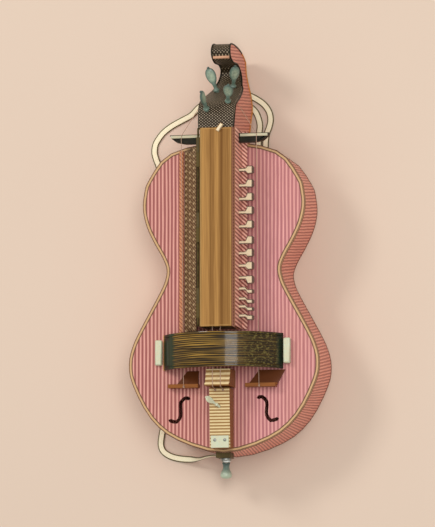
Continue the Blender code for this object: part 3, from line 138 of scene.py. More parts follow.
class HURDY_PG_body(bpy.types.PropertyGroup):
    """The soundbox"""

    spruce_pale: colour_setting(
        "Spruce, pale", "The soundboard's early wood under its rose varnish", "#EBB09E"
    )
    spruce_deep: colour_setting(
        "Spruce, deep", "The soundboard's late wood under its rose varnish", "#84403E"
    )
    maple_pale: colour_setting("Maple, pale", "The pale flames of the ribs and walls", "#FAA88E")
    maple_deep: colour_setting("Maple, deep", "The dark flames of the ribs and walls", "#A84A3C")
    binding: colour_setting("Binding", "The pale edge binding", "#C69E6A")
    grain_pitch: length_setting(
        "Grain pitch",
        "The distance between year rings, drawn coarser than the real 1.5 mm so that they show",
        5.6,
        1,
        10,
    )
    flame_pitch: length_setting("Flame pitch", "The distance between the flames of the ribs", 4.8, 1, 10)
    slant_pitch: length_setting(
        "Slanting flame pitch", "The distance between the slanting flames behind the keys", 6.1, 1, 10
    )
    purfling_width: length_setting(
        "Purfling width", "The width of the dark lines on both sides of the binding", 1.2, 0.3, 3
    )


class HURDY_PG_keybox(bpy.types.PropertyGroup):
    """The keybox, its lid, its apron and the keys"""

    walnut_pale: colour_setting("Walnut, pale", "The lid's pale streaks", "#B28242")
    walnut_deep: colour_setting("Walnut, deep", "The lid's dark streaks", "#6C4200")
    apron_pale: colour_setting("Apron, pale", "The tops of the apron's carved lozenges", "#C4A87E")
    apron_deep: colour_setting("Apron, deep", "The cuts between the apron's carved lozenges", "#4E3418")
    rope: colour_setting("Rope moulding", "The pear wood of the rope moulding", "#CC8A62")
    bone: colour_setting("Bone", "The keys, the nut and the lid's pull", "#EAD6B0")
    lozenge_length: length_setting(
        "Lozenge length", "The length of one carved lozenge along the apron", 8.8, 3, 30
    )
    lozenge_width: length_setting(
        "Lozenge width", "The width of one carved lozenge up the apron", 19, 2, 40
    )
    lozenge_height: length_setting(
        "Lozenge height", "How far a lozenge's middle stands above its cuts", 1.3, 0, 3
    )
    strand_pitch: length_setting(
        "Strand pitch", "The distance between the strands of the rope moulding", 6, 2, 20
    )
    edge_round: length_setting(
        "Rounded edge", "How far the edges of the wooden pieces are rounded", 0.6, 0.1, 2
    )


class HURDY_PG_cover(bpy.types.PropertyGroup):
    """The wheel cover and its seats"""

    varnish_pale: colour_setting("Cover, pale", "The fine pale streaks of the wheel cover", "#A07A30")
    varnish_deep: colour_setting("Cover, deep", "The dark olive varnish of the wheel cover", "#241600")
    seat: colour_setting(
        "Seats", "The bleached bone of the seats, the tail plate and the tail peg", "#C8CCAE"
    )
    line_pitch: length_setting(
        "Line pitch", "The distance between the fine pale lines along the cover", 3.1, 1, 10
    )
    wall: length_setting("Cover wall", "The thickness of the cover", 4, 1, 8)
    groove: length_setting("Groove", "The depth of the two grooves along the cover's edges", 0.6, 0, 2)


class HURDY_PG_fittings(bpy.types.PropertyGroup):
    """The tailpiece, bridges, nuts and strings"""

    band_pale: colour_setting("Bands, pale", "The pale bands of the tailpiece and bridge", "#DFC693")
    band_deep: colour_setting("Bands, deep", "The tan bands of the tailpiece and bridge", "#96703C")
    pear: colour_setting(
        "Pear wood", "The orange brown sides of the tailpiece and the drone bridges", "#905416"
    )
    gut: colour_setting("Gut", "The strings", "#C09A80")
    tail_band_pitch: length_setting(
        "Tailpiece band pitch", "The length of a pale and a tan band together on the tailpiece", 4.65, 2, 20
    )
    bridge_band_pitch: length_setting(
        "Bridge band pitch", "The length of a pale and a tan band together on the bridge", 7.3, 2, 20
    )


class HURDY_PG_head(bpy.types.PropertyGroup):
    """The pegbox and its pegs"""

    stain: colour_setting("Front stain", "The dark front of the pegbox and its scroll", "#2A1E0A")
    punch: colour_setting("Punched net", "The points of the punched net on the pegbox's front", "#D0BA9C")
    edging: colour_setting("Edging", "The orange cord of wood along the pegbox's back edges", "#D88A30")
    peg: colour_setting("Pegs", "The rubbed hollows of the pegs' grey green heads", "#A6B296")
    net_pitch: length_setting("Net pitch", "The distance between the points of the punched net", 5, 1, 10)


class HURDY_PG_straps(bpy.types.PropertyGroup):
    """The woven straps"""

    cloth: colour_setting("Cloth", "The cream threads of the straps", "#FFF6D2")
    selvedge: colour_setting("Selvedge", "The olive brown threads along the straps' edges", "#5E5128")
    width: length_setting("Strap width", "The width of a strap laid flat", 10.2, 10.1, 30)
    thickness: length_setting("Strap thickness", "The thickness of a strap", 1.8, 0.5, 4)
    thread_pitch: length_setting(
        "Thread pitch",
        "The distance between threads, drawn coarser than the real half millimetre so that it shows",
        1.4,
        0.3,
        4,
    )
    selvedge_width: length_setting(
        "Selvedge width", "The width of the dark threads along each edge", 1.7, 0, 3
    )


class HURDY_PG_stage(bpy.types.PropertyGroup):
    """The floor, lamps and camera"""

    floor: colour_setting("Floor", "The plain pale floor", "#DAC4B0")
    floor_size: length_setting("Floor size", "The length of the floor's sides", 6000, 1000, 20000)
    key_power: power_setting("Main lamp", "The power of the large lamp at the upper left", 42.5, 500)
    sheen_power: power_setting(
        "Sheen lamp", "The power of the lamp overhead that draws the bright band on the cover", 22, 100
    )
    sky: FloatProperty(
        name="Sky",
        description="The strength of the even light from all sides",
        default=0.57,
        min=0.0,
        max=2.0,
        subtype="FACTOR",
    )
    view_height: length_setting(
        "View height", "The height of the picture, measured at the soundboard", 790.7, 100, 3000
    )
    view_distance: length_setting(
        "View distance", "How far the camera stands from the soundboard", 6000, 1000, 20000
    )


def opaque(colour):
    """A hex code or a linear colour, with the fourth value that makes it solid."""
    return (*(linear(colour) if isinstance(colour, str) else colour), 1.0)


def add(tree, kind, links=(), stops=(), **settings):
    """Adds a node with its settings.

    links holds each input's value or the socket that it comes from, by its name or number or in order.
    """
    made = tree.nodes.new(kind)
    for name, value in settings.items():
        setattr(made, name, value)
    for key, value in links.items() if isinstance(links, dict) else enumerate(links):
        if isinstance(value, bpy.types.NodeSocket):
            tree.links.new(value, made.inputs[key])
        elif made.inputs[key].type == "RGBA":
            made.inputs[key].default_value = opaque(value)
        else:
            made.inputs[key].default_value = value
    if stops:
        ramp = made.color_ramp.elements
        while len(ramp) < len(stops):
            ramp.new(1.0)
        for element, (place, colour) in zip(ramp, stops):
            element.position = place
            element.color = opaque(colour)
    return made


def begin(name, **values):
    """A new material and its node tree, with these values on the shader's own sockets."""
    look = bpy.data.materials.new(name)
    look.use_nodes = True
    shader = look.node_tree.nodes["Principled BSDF"]
    for key, value in values.items():
        shader.inputs[key.replace("_", " ")].default_value = value
    return look, look.node_tree


def position(tree):
    """The X, Y and Z of the piece itself, so that a pattern moves with it."""
    coordinates = add(tree, "ShaderNodeTexCoord")
    return add(tree, "ShaderNodeSeparateXYZ", {"Vector": coordinates.outputs["Object"]}).outputs


def facing(tree, bare=False):
    """The X, Y and Z of the way that the piece's surface faces, without their signs if bare."""
    way = add(tree, "ShaderNodeTexCoord").outputs["Normal"]
    if bare:
        way = add(tree, "ShaderNodeVectorMath", (way,), operation="ABSOLUTE").outputs[0]
    return add(tree, "ShaderNodeSeparateXYZ", (way,)).outputs


def cloud(tree, stretch, size, detail=2.0):
    """Soft noise in which a patch is this size, drawn out along the piece by the stretch of each axis."""
    place = add(tree, "ShaderNodeTexCoord").outputs["Object"]
    scale = [1 / (size * s) for s in stretch]
    scaled = add(tree, "ShaderNodeVectorMath", (place, scale), operation="MULTIPLY").outputs[0]
    found = add(tree, "ShaderNodeTexNoise", {"Vector": scaled, "Scale": 1.0, "Detail": detail})
    return found.outputs["Fac"]


def stripes(tree, across, pitch, waver=None, amount=0.0):
    """Even stripes across a coordinate, pushed aside by waver, by up to this share of the pitch."""
    unit = add(tree, "ShaderNodeMath", (across, 1 / pitch), operation="MULTIPLY").outputs[0]
    if waver is not None:
        unit = add(tree, "ShaderNodeMath", (waver, 2 * amount, unit), operation="MULTIPLY_ADD").outputs[0]
    line = add(tree, "ShaderNodeCombineXYZ", {"X": unit}).outputs[0]
    found = add(tree, "ShaderNodeTexWave", {"Vector": line, "Scale": WAVE_UNIT}, bands_direction="X")
    return found.outputs["Fac"]


def crossed(tree, along, across, pitch, waver, amount):
    """The points where two sets of slanting stripes cross, from 0 to 1."""
    sets = []
    for operation in ("ADD", "SUBTRACT"):
        slanting = add(tree, "ShaderNodeMath", (along, across), operation=operation).outputs[0]
        sets.append(stripes(tree, slanting, pitch, waver, amount))
    return add(tree, "ShaderNodeMath", sets, operation="MULTIPLY").outputs[0]


def stained(tree, colour, stain, where, low=0.0, high=1.0, most=1.0):
    """A colour with a stain over it: none where the pattern is at low, and the most where it is at high."""
    share = add(tree, "ShaderNodeMapRange", (where, low, high, 0.0, most)).outputs[0]
    return add(tree, "ShaderNodeMix", {0: share, 6: colour, 7: stain}, data_type="RGBA").outputs[2]


def surface(look, colour, gloss, rough, relief, depth, between=(0.2, 0.8)):
    """Gives a material its colour, its roughness and its relief.

    The roughness goes from the first of rough to the second as the gloss pattern goes between two values.
    The relief pattern is as deep as the depth.
    """
    tree = look.node_tree
    shader = tree.nodes["Principled BSDF"]
    roughness = add(tree, "ShaderNodeMapRange", (gloss, *between, *rough)).outputs[0]
    raised = add(tree, "ShaderNodeBump", {"Height": relief, "Distance": depth, "Strength": 1.0}).outputs[0]
    for key, socket in (("Base Color", colour), ("Roughness", roughness), ("Normal", raised)):
        tree.links.new(socket, shader.inputs[key])
    return look


def overlaid(look, share, colour):
    """Lays a colour over a material's own, as strongly as the share says at each point."""
    tree = look.node_tree
    socket = tree.nodes["Principled BSDF"].inputs["Base Color"]
    under = socket.links[0].from_socket
    over = add(tree, "ShaderNodeMix", {0: share, 6: under, 7: colour}, data_type="RGBA")
    tree.links.new(over.outputs[2], socket)
    return look


EVEN = (1, 1, 1)  # the stretch of a cloud whose patches are round


def varnished_spruce(sizes):
    """Quartered spruce under a rose oil varnish."""
    # Even year rings run the board's length as pale and deep lines, and the varnish gives a soft gloss.
    look, tree = begin(
        "varnished_spruce_brushed", IOR=1.5, Specular_IOR_Level=0.3, Coat_Weight=0.1, Coat_Roughness=0.3
    )
    ring_drift = 12 * MM
    fibre = 0.7 * MM
    patch = 60 * MM
    painted_light_reach = 50 * MM
    ring_rise = 0.08 * MM
    x = position(tree)["X"]
    rings = stripes(tree, x, sizes.grain_pitch, cloud(tree, (1, 9, 1), ring_drift), 0.22)
    fine = cloud(tree, (1, 40, 1), fibre)
    stops = ((0.0, sizes.spruce_deep), (0.36, "#AC6460"), (0.7, "#C27C76"), (1.0, sizes.spruce_pale))
    colour = add(tree, "ShaderNodeValToRGB", (rings,), stops).outputs["Color"]
    # Painted light: the board turns paler and pinker towards its right side, to lift the shade that the
    # keybox casts there.
    colour = stained(tree, colour, "#E098A0", x, 0.0, painted_light_reach, 0.3)
    colour = stained(tree, colour, "#C98A6E", cloud(tree, (1, 3, 1), patch), 0.3, 0.7, 0.22)
    colour = stained(tree, colour, sizes.spruce_deep, fine, 0.35, 0.7, 0.25)
    return surface(look, colour, fine, (0.36, 0.5), rings, ring_rise)


SIDE_FLAME_LEAN = 0.14  # how far a flame leans along the side for each step up it
TAIL_FLAME_LEAN = -0.14  # and at the tail, where the next board of the ribs was bent the other way round
TAIL_FLAMES = 90 * MM


def flamed_maple(sizes, name="flamed_maple_varnished", bent=False):
    """Maple under a red brown varnish."""
    # The flames cross the ribs from front to back as short pale and dark bars.
    look, tree = begin(name, IOR=1.5, Specular_IOR_Level=0.3, Coat_Weight=0.1, Coat_Roughness=0.3)
    flame_drift = 9 * MM
    curl = 2.5 * MM
    patch = 45 * MM
    curl_rise = 0.06 * MM
    x, y, z = position(tree)
    if bent:
        unrolled = add(tree, "ShaderNodeTexCoord").outputs["UV"]
        round_body = add(tree, "ShaderNodeSeparateXYZ", (unrolled,)).outputs["X"]
        leans = (y, TAIL_Y, TAIL_Y + TAIL_FLAMES, TAIL_FLAME_LEAN, SIDE_FLAME_LEAN)
        lean = add(tree, "ShaderNodeMapRange", leans).outputs[0]
        along = add(tree, "ShaderNodeMath", (z, lean, round_body), operation="MULTIPLY_ADD").outputs[0]
    else:
        way = facing(tree, bare=True)
        to_side = add(tree, "ShaderNodeMath", (way["X"], way["Y"]), operation="GREATER_THAN").outputs[0]
        beside = add(tree, "ShaderNodeMath", (z, SIDE_FLAME_LEAN, y), operation="MULTIPLY_ADD").outputs[0]
        along = add(tree, "ShaderNodeMix", {0: to_side, 2: x, 3: beside}, data_type="FLOAT").outputs[0]
    bars = stripes(tree, along, sizes.flame_pitch, cloud(tree, (1, 1, 2), flame_drift), 0.2)
    fine = cloud(tree, (3, 3, 0.25), curl)
    colour = stained(tree, sizes.maple_deep, sizes.maple_pale, bars, 0.15, 0.85)
    colour = stained(tree, colour, "#BC6E60", cloud(tree, EVEN, patch), 0.3, 0.7, 0.3)
    colour = stained(tree, colour, "#94463E", fine, 0.4, 0.7, 0.2)
    return surface(look, colour, fine, (0.34, 0.5), fine, curl_rise)


FLAME_RISE = -0.08  # how far a slanting flame moves along the wall for each step up it
FLAME_RUN = 0.9  # and back along it for each step out across the floor's edge
WALL_LINE = 27.4 * MM  # where the dotted line runs along the wall's top, from the middle of the instrument
WALL_LINE_REACH = 0.9 * MM
WALL_DOT_PITCH = 4.6 * MM
WALL_TOP_DARK_REACH = 1 * MM  # how far down the wall its darker top reaches


def hatched_maple(sizes):
    """Maple with slanting flames, varnished, and darker along its top."""
    # Pale slanting bars cross the wall behind the keys, and a dotted dark line runs along its top.
    look, tree = begin("slant_flamed_maple_varnished", IOR=1.5, Specular_IOR_Level=0.3)
    fibre = 1.6 * MM
    fibre_rise = 0.06 * MM
    x, y, z = position(tree)
    fine = cloud(tree, (1, 3, 1), fibre)
    rise = add(tree, "ShaderNodeMath", (z, FLAME_RISE, y), operation="MULTIPLY_ADD").outputs[0]
    slant = add(tree, "ShaderNodeMath", (x, FLAME_RUN, rise), operation="MULTIPLY_ADD").outputs[0]
    side = stained(
        tree, "#984E42", "#FFC6AE", stripes(tree, slant, sizes.slant_pitch, fine, 0.12), 0.3, 0.7
    )
    dots = stripes(tree, y, WALL_DOT_PITCH, fine, 0.3)
    dots = add(tree, "ShaderNodeMapRange", (dots, 0.2, 0.8, 0.35, 1.0)).outputs[0]
    line = add(tree, "ShaderNodeMath", (x, WALL_LINE, WALL_LINE_REACH), operation="COMPARE").outputs[0]
    line = add(tree, "ShaderNodeMath", (line, dots), operation="MULTIPLY").outputs[0]
    top = stained(tree, "#7E4E2E", "#541E0E", line)
    # The wall is darker along its top, where it faces up.
    upward = add(tree, "ShaderNodeMapRange", (facing(tree)["Z"], 0.5, 0.6)).outputs[0]
    high = add(tree, "ShaderNodeMath", (z, WALL_TOP - WALL_TOP_DARK_REACH), operation="GREATER_THAN").outputs[0]
    above = add(tree, "ShaderNodeMath", (upward, high), operation="MULTIPLY").outputs[0]
    colour = stained(tree, side, top, above)
    colour = stained(tree, colour, "#7C3E30", fine, 0.4, 0.75, 0.2)
    return surface(look, colour, fine, (0.4, 0.55), fine, fibre_rise)


def boxwood_strip(sizes):
    """Boxwood, bent and scraped."""
    # A pale creamy line with faint short streaks, which are a little duller.
    look, tree = begin("boxwood_scraped", IOR=1.5, Coat_Weight=0.1, Coat_Roughness=0.35)
    streak = 3 * MM
    scrape = 0.04 * MM
    streaks = cloud(tree, (4, 4, 1), streak)
    colour = stained(tree, sizes.binding, "#C09468", streaks, 0.35, 0.75, 0.5)
    return surface(look, colour, streaks, (0.38, 0.52), streaks, scrape)


def dark_line():
    """Pear wood dyed black brown and inlaid as a thin line."""
    # It reads as an ink line beside the pale binding.
    look, tree = begin("pear_dyed_inlay", IOR=1.5)
    streak = 2 * MM
    scrape = 0.03 * MM
    streaks = cloud(tree, (6, 6, 1), streak)
    colour = stained(tree, "#54321C", "#7E5230", streaks)
    return surface(look, colour, streaks, (0.45, 0.6), streaks, scrape)


# Where the lid's streaks are, from the hinged edge to the keys, and how pale each is, as shares
LID_STREAK_SHARES = (
    (0.0, 0.7),
    (0.1, 1.0),
    (0.15, 0.8),
    (0.3, 0.7),
    (0.33, 0.25),
    (0.35, 0.1),
    (0.37, 0.35),
    (0.45, 0.3),
    (0.5, 0.8),
    (0.58, 0.85),
    (0.62, 0.4),
    (0.65, 0.35),
    (0.68, 0.0),
    (0.73, 0.0),
    (0.76, 0.35),
    (0.88, 0.45),
    (0.9, 0.2),
    (0.92, 0.45),
    (0.97, 0.35),
    (1.0, 0.8),
)
LID_STREAKS_START = -24.0 * MM
LID_STREAKS_END = 23.2 * MM
STREAK_WANDER = 0.7 * MM  # how far a streak strays to either side
HINGE_STAIN = 4.0 * MM  # how far the hinge's dark stain reaches into the lid


def striped_walnut(sizes):
    """Straight-grained walnut, planed and oiled."""
    # Golden and brown streaks of uneven width run the lid's length, and its hinged edge is stained dark.
    look, tree = begin("walnut_planed_oiled", IOR=1.5, Specular_IOR_Level=0.25)
    wander = 6 * MM
    fibre = 0.9 * MM
    fibre_rise = 0.07 * MM
    x = position(tree)["X"]
    strays = (cloud(tree, (1, 60, 1), wander), 0.2, 0.8, -STREAK_WANDER, STREAK_WANDER)
    drift = add(tree, "ShaderNodeMapRange", strays).outputs[0]
    place = add(tree, "ShaderNodeMath", (x, drift), operation="ADD").outputs[0]
    share = add(tree, "ShaderNodeMapRange", (place, LID_STREAKS_START, LID_STREAKS_END)).outputs[0]
    deep, pale = Vector(sizes.walnut_deep), Vector(sizes.walnut_pale)
    stops = [(at, deep.lerp(pale, paleness)) for at, paleness in LID_STREAK_SHARES]
    colour = add(tree, "ShaderNodeValToRGB", (share,), stops).outputs["Color"]
    fine = cloud(tree, (1, 70, 1), fibre)
    colour = stained(tree, colour, sizes.walnut_deep, fine, 0.42, 0.7, 0.45)
    colour = stained(tree, colour, sizes.walnut_pale, fine, 0.42, 0.25, 0.4)
    colour = stained(tree, colour, "#4E4E28", x, LID_STREAKS_START + HINGE_STAIN, LID_STREAKS_START, 0.4)
    hinged = add(tree, "ShaderNodeMath", (x, LID_STREAKS_START), operation="LESS_THAN").outputs[0]
    colour = stained(tree, colour, "#4E3E10", hinged)
    return surface(look, colour, fine, (0.4, 0.56), fine, fibre_rise)


def carved_oak(sizes):
    """Oak stained dark and carved with rows of lozenges."""
    # The worn tops of the lozenges catch the light as rows of pale points on dark brown.
    look, tree = begin("oak_carved_stained", IOR=1.5, Specular_IOR_Level=0.3)
    fibre = 1.4 * MM
    cut_pitch = 4.9 * MM
    fibre_rise = 0.08 * MM
    x, y = position(tree)[:2]
    grain = cloud(tree, (1, 12, 1), fibre)
    cuts = crossed(tree, y, x, cut_pitch, grain, 0.15)
    colour = stained(tree, sizes.apron_deep, "#A08058", cuts, 0.15, 0.6)
    worn = add(tree, "ShaderNodeAttribute", attribute_name=WORN).outputs["Fac"]
    colour = stained(tree, colour, sizes.apron_pale, worn, 0.5, 0.85)
    colour = stained(tree, colour, "#5C4226", grain, 0.45, 0.75, 0.35)
    return surface(look, colour, grain, (0.46, 0.66), grain, fibre_rise)


def pear_rope(sizes):
    """Pear wood carved as a rope and oiled."""
    # The strands are worn pale, and dark oil has gathered in the cuts between them.
    look, tree = begin("pear_carved_rope", IOR=1.5, Specular_IOR_Level=0.3)
    fibre = 1.2 * MM
    fibre_rise = 0.06 * MM
    grain = cloud(tree, (1, 6, 1), fibre)
    worn = add(tree, "ShaderNodeAttribute", attribute_name=WORN).outputs["Fac"]
    colour = stained(tree, "#84432A", sizes.rope, worn, 0.1, 0.75)
    colour = stained(tree, colour, "#A9643C", grain, 0.4, 0.7, 0.35)
    return surface(look, colour, grain, (0.42, 0.58), grain, fibre_rise)


ALONG_Y = (1, 12, 1)
ALONG_X = (12, 1, 1)


def turned_pear(name, colour, dark, stretch=ALONG_Y):
    """Pear, box or beech wood, worked smooth and oiled."""
    # Close even wood with fine streaks along it.
    look, tree = begin(name, IOR=1.5, Specular_IOR_Level=0.25)
    fibre = 1.2 * MM
    patch = 14 * MM
    fibre_rise = 0.06 * MM
    grain = cloud(tree, stretch, fibre)
    mixed = stained(tree, colour, dark, grain, 0.35, 0.7, 0.6)
    mixed = stained(tree, mixed, dark, cloud(tree, (1, 2, 1), patch), 0.3, 0.7, 0.25)
    return surface(look, mixed, grain, (0.36, 0.52), grain, fibre_rise)


def sawn_bone(name, colour):
    """Cattle bone or horn, sawn and scraped."""
    # Cream with fine brown pores in short dashes, and a soft polish from handling.
    look, tree = begin(name, IOR=1.54, Subsurface_Weight=0.04, Coat_Weight=0.1, Coat_Roughness=0.3)
    pore = 0.9 * MM
    patch = 9 * MM
    pore_depth = 0.05 * MM
    pores = cloud(tree, (5, 1, 1), pore)
    patches = cloud(tree, EVEN, patch)
    mixed = stained(tree, colour, "#B98F5A", pores, 0.58, 0.8, 0.5)
    mixed = stained(tree, mixed, "#DDB98A", patches, 0.35, 0.75, 0.3)
    return surface(look, mixed, patches, (0.3, 0.45), pores, pore_depth)


KEY_SHADE_TIP = 3.2 * MM  # how far back from the keys' ends their painted shade reaches
KEY_SHADE_BORDER = 2.8 * MM  # how near to a key's edges its painted shade reaches onto its top


def shade_bordered_key(bone, tip):
    """A key of sawn bone, with painted shade over its sides, round its top's edges and over its end."""
    # Its top is cream bone with brown pores; dark brown painted shade with a wood grain covers its sides, a
    # border round its top and its end, standing in for the shadows and outlines round each key.
    look = sawn_bone("bone_faced_pear", bone)
    tree = look.node_tree
    fibre = 1.1 * MM
    x = position(tree)["X"]
    rounded = add(tree, "ShaderNodeBevel", {"Radius": KEY_SHADE_BORDER}, samples=8).outputs["Normal"]
    upward = add(tree, "ShaderNodeSeparateXYZ", (rounded,)).outputs["Z"]
    beside = add(tree, "ShaderNodeMapRange", (upward, 0.97, 0.998, 1.0, 0.0)).outputs[0]
    shaded_end = add(tree, "ShaderNodeMath", (x, tip - KEY_SHADE_TIP), operation="GREATER_THAN").outputs[0]
    beside = add(tree, "ShaderNodeMath", (beside, shaded_end), operation="MAXIMUM").outputs[0]
    # The painted shade's colour: dark brown with a wood grain.
    wood = stained(tree, "#5E3A1A", "#38200C", cloud(tree, (9, 1, 1), fibre), 0.35, 0.7)
    return overlaid(look, beside, wood)


def ebonised_pear(name, colour, grey):
    """Pear wood dyed black with iron and vinegar, and waxed."""
    # Nearly black, with a green brown cast where the dye is thin.
    look, tree = begin(name, IOR=1.5, Specular_IOR_Level=0.15)
    fibre = 1.1 * MM
    fibre_rise = 0.06 * MM
    grain = cloud(tree, (9, 1, 1), fibre)
    mixed = stained(tree, colour, grey, grain, 0.4, 0.75, 0.7)
    return surface(look, mixed, grain, (0.32, 0.48), grain, fibre_rise)


# Where the wheel cover's painted shade and its stains begin and are full, across the instrument
COVER_SHADE = (30 * MM, 50 * MM)
COVER_LEFT_GREEN = (-60 * MM, -66 * MM)
COVER_LEFT_FOOT = (-78 * MM, -83 * MM)
COVER_RIGHT_FOOT = (82 * MM, 88 * MM)
GREEN_RAGGED = 12 * MM  # how ragged the green's edge is


def lacquered_cover(sizes):
    """Thin maple bent to an arch, stained dark olive and varnished."""
    # Fine pale streaks follow the arch on a dark ground, fading to bottle green at its feet, and painted
    # shade darkens its right side.
    look, tree = begin(
        "maple_bent_lacquered", IOR=1.5, Specular_IOR_Level=0.1, Coat_Weight=0.4, Coat_Roughness=0.1
    )
    fibre = 1.5 * MM
    drift = 5.5 * MM
    fleck = 2.6 * MM
    fibre_rise = 0.05 * MM
    x, y = position(tree)[:2]
    fine = cloud(tree, (34, 1, 34), fibre)
    wide = cloud(tree, (18, 1, 18), drift)
    rows = stripes(tree, y, sizes.line_pitch, wide, 0.9)
    gaps = add(tree, "ShaderNodeMapRange", (fine, 0.3, 0.6, 0.25, 1.0)).outputs[0]
    broken = add(tree, "ShaderNodeMath", (rows, gaps), operation="MULTIPLY").outputs[0]
    colour = stained(tree, sizes.varnish_deep, sizes.varnish_pale, broken, 0.25, 0.85)
    colour = stained(tree, colour, "#251A04", wide, 0.4, 0.65, 0.6)
    # Painted shade: the cover darkens towards its right side, where the arch turns from the light, and pale
    # flecks are strewn over that darker part only.
    shade = add(tree, "ShaderNodeMapRange", (x, *COVER_SHADE, 0.0, 0.75)).outputs[0]
    colour = stained(tree, colour, "#251A04", shade)
    flecks = cloud(tree, (1.6, 1, 1.6), fleck)
    flecks = add(tree, "ShaderNodeMapRange", (flecks, 0.52, 0.66, 0.0, 0.8)).outputs[0]
    flecks = add(tree, "ShaderNodeMath", (flecks, shade), operation="MULTIPLY").outputs[0]
    colour = stained(tree, colour, "#7C6E36", flecks)
    ragged = add(tree, "ShaderNodeMath", (fine, GREEN_RAGGED, x), operation="MULTIPLY_ADD").outputs[0]
    colour = stained(tree, colour, "#0E2812", ragged, *COVER_LEFT_GREEN, 0.98)
    colour = stained(tree, colour, "#08160A", x, *COVER_LEFT_FOOT, 0.9)
    colour = stained(tree, colour, "#10241A", x, *COVER_RIGHT_FOOT, 0.9)
    return surface(look, colour, fine, (0.3, 0.45), fine, fibre_rise)


def banded_veneer(sizes, name, pitch, start):
    """Pear wood with a top of boxwood and walnut strips glued side by side."""
    # The top shows even cross bands and the sides plain orange brown wood.
    look, tree = begin(name, IOR=1.5, Specular_IOR_Level=0.3)
    fibre = 0.9 * MM
    side_fibre = 1.2 * MM
    band_rise = 0.1 * MM
    y = position(tree)["Y"]
    from_start = add(tree, "ShaderNodeMath", (y, start), operation="SUBTRACT").outputs[0]
    bands = stripes(tree, from_start, pitch)
    grain = cloud(tree, (9, 1, 1), fibre)
    top = stained(tree, sizes.band_deep, sizes.band_pale, bands, 0.35, 0.65)
    side = stained(tree, sizes.pear, "#6E3A10", cloud(tree, (1, 12, 2), side_fibre), 0.35, 0.7, 0.7)
    upward = add(tree, "ShaderNodeMath", (facing(tree)["Z"], 0.5), operation="GREATER_THAN").outputs[0]
    colour = stained(tree, side, top, upward)
    colour = stained(tree, colour, "#8A6030", grain, 0.45, 0.75, 0.3)
    return surface(look, colour, grain, (0.36, 0.5), bands, band_rise)


def net(tree, pitch):
    """Rows of points at this pitch, in diagonal rows on whichever way the surface faces, from 0 to 1."""
    drift = 4 * MM
    x, y, z = position(tree)
    along = add(tree, "ShaderNodeMath", (y, z), operation="SUBTRACT").outputs[0]
    return crossed(tree, along, x, pitch, cloud(tree, EVEN, drift), 0.25)


def punched_plate(sizes):
    """Pear wood dyed black and punched all over with a net of fine points."""
    # The raised points between the punch marks are worn pale, and glitter on the dark ground.
    look, tree = begin("pear_dyed_punched", IOR=1.5, Specular_IOR_Level=0.2)
    fibre = 1.2 * MM
    punch_depth = 0.25 * MM
    points = net(tree, sizes.net_pitch)
    grain = cloud(tree, (1, 8, 1), fibre)
    colour = stained(tree, sizes.stain, sizes.punch, points, 0.45, 0.9, 0.9)
    colour = stained(tree, colour, "#3A3226", grain, 0.4, 0.7, 0.4)
    return surface(look, colour, grain, (0.35, 0.5), points, punch_depth)


DYED_FACING = -0.2  # how far up the pegbox's wood has to look to be dyed, where 1 is straight up
DYED_SIDEWAYS = 0.6  # and how far to the side it may look


def pegbox_wood(body, head):
    """Flamed maple, carved and varnished, with its front dyed dark and punched."""
    # The pegbox's sides are red brown like the ribs, and its front and scroll are nearly black.
    look = flamed_maple(body, "maple_carved_varnished")
    tree = look.node_tree
    tree.nodes["Principled BSDF"].inputs["Specular IOR Level"].default_value = 0.2
    patch = 30 * MM
    ahead = facing(tree)["Z"]
    ahead = add(tree, "ShaderNodeMath", (ahead, DYED_FACING), operation="GREATER_THAN").outputs[0]
    across = facing(tree, bare=True)["X"]
    across = add(tree, "ShaderNodeMath", (across, DYED_SIDEWAYS), operation="LESS_THAN").outputs[0]
    front = add(tree, "ShaderNodeMath", (ahead, across), operation="MULTIPLY").outputs[0]
    dark = stained(tree, head.stain, head.punch, net(tree, head.net_pitch), 0.45, 0.9, 0.7)
    tones = (cloud(tree, (1, 1, 3), patch), 0.2, 0.8, 0.1, 0.4)
    overlaid(look, add(tree, "ShaderNodeMapRange", tones).outputs[0], "#8E4A38")
    return overlaid(look, front, dark)


def planed_maple(name, pale, deep):
    """Maple, planed or turned and left bare."""
    # Dry and pale, with faint straight grain.
    look, tree = begin(name, IOR=1.5)
    fibre = 1.3 * MM
    fibre_rise = 0.06 * MM
    grain = cloud(tree, (1, 16, 1), fibre)
    colour = stained(tree, pale, deep, grain, 0.35, 0.7, 0.8)
    return surface(look, colour, grain, (0.5, 0.68), grain, fibre_rise)


def rubbed_and_highlighted_stain(sizes):
    """Boxwood, turned, stained grey green and rubbed by the fingers."""
    # The hollows of the heads are pale and shine, and the rims and necks stay dark: partly rubbing by the
    # fingers, and partly a painted highlight in the hollows and painted shade on the rims.
    look, tree = begin("boxwood_turned_stained", IOR=1.5, Coat_Weight=0.25, Coat_Roughness=0.2)
    streak = 2.2 * MM
    streak_rise = 0.05 * MM
    rubbed = add(tree, "ShaderNodeAttribute", attribute_name=WORN).outputs["Fac"]
    streaks = cloud(tree, (1, 5, 1), streak)
    stops = ((0.0, "#344840"), (0.35, "#607464"), (0.75, "#92A28C"), (1.0, sizes.peg))
    colour = add(tree, "ShaderNodeValToRGB", (rubbed,), stops).outputs["Color"]
    colour = stained(tree, colour, "#5A6E60", streaks, 0.4, 0.65, 0.55)
    return surface(look, colour, rubbed, (0.5, 0.32), streaks, streak_rise, between=(0.0, 1.0))


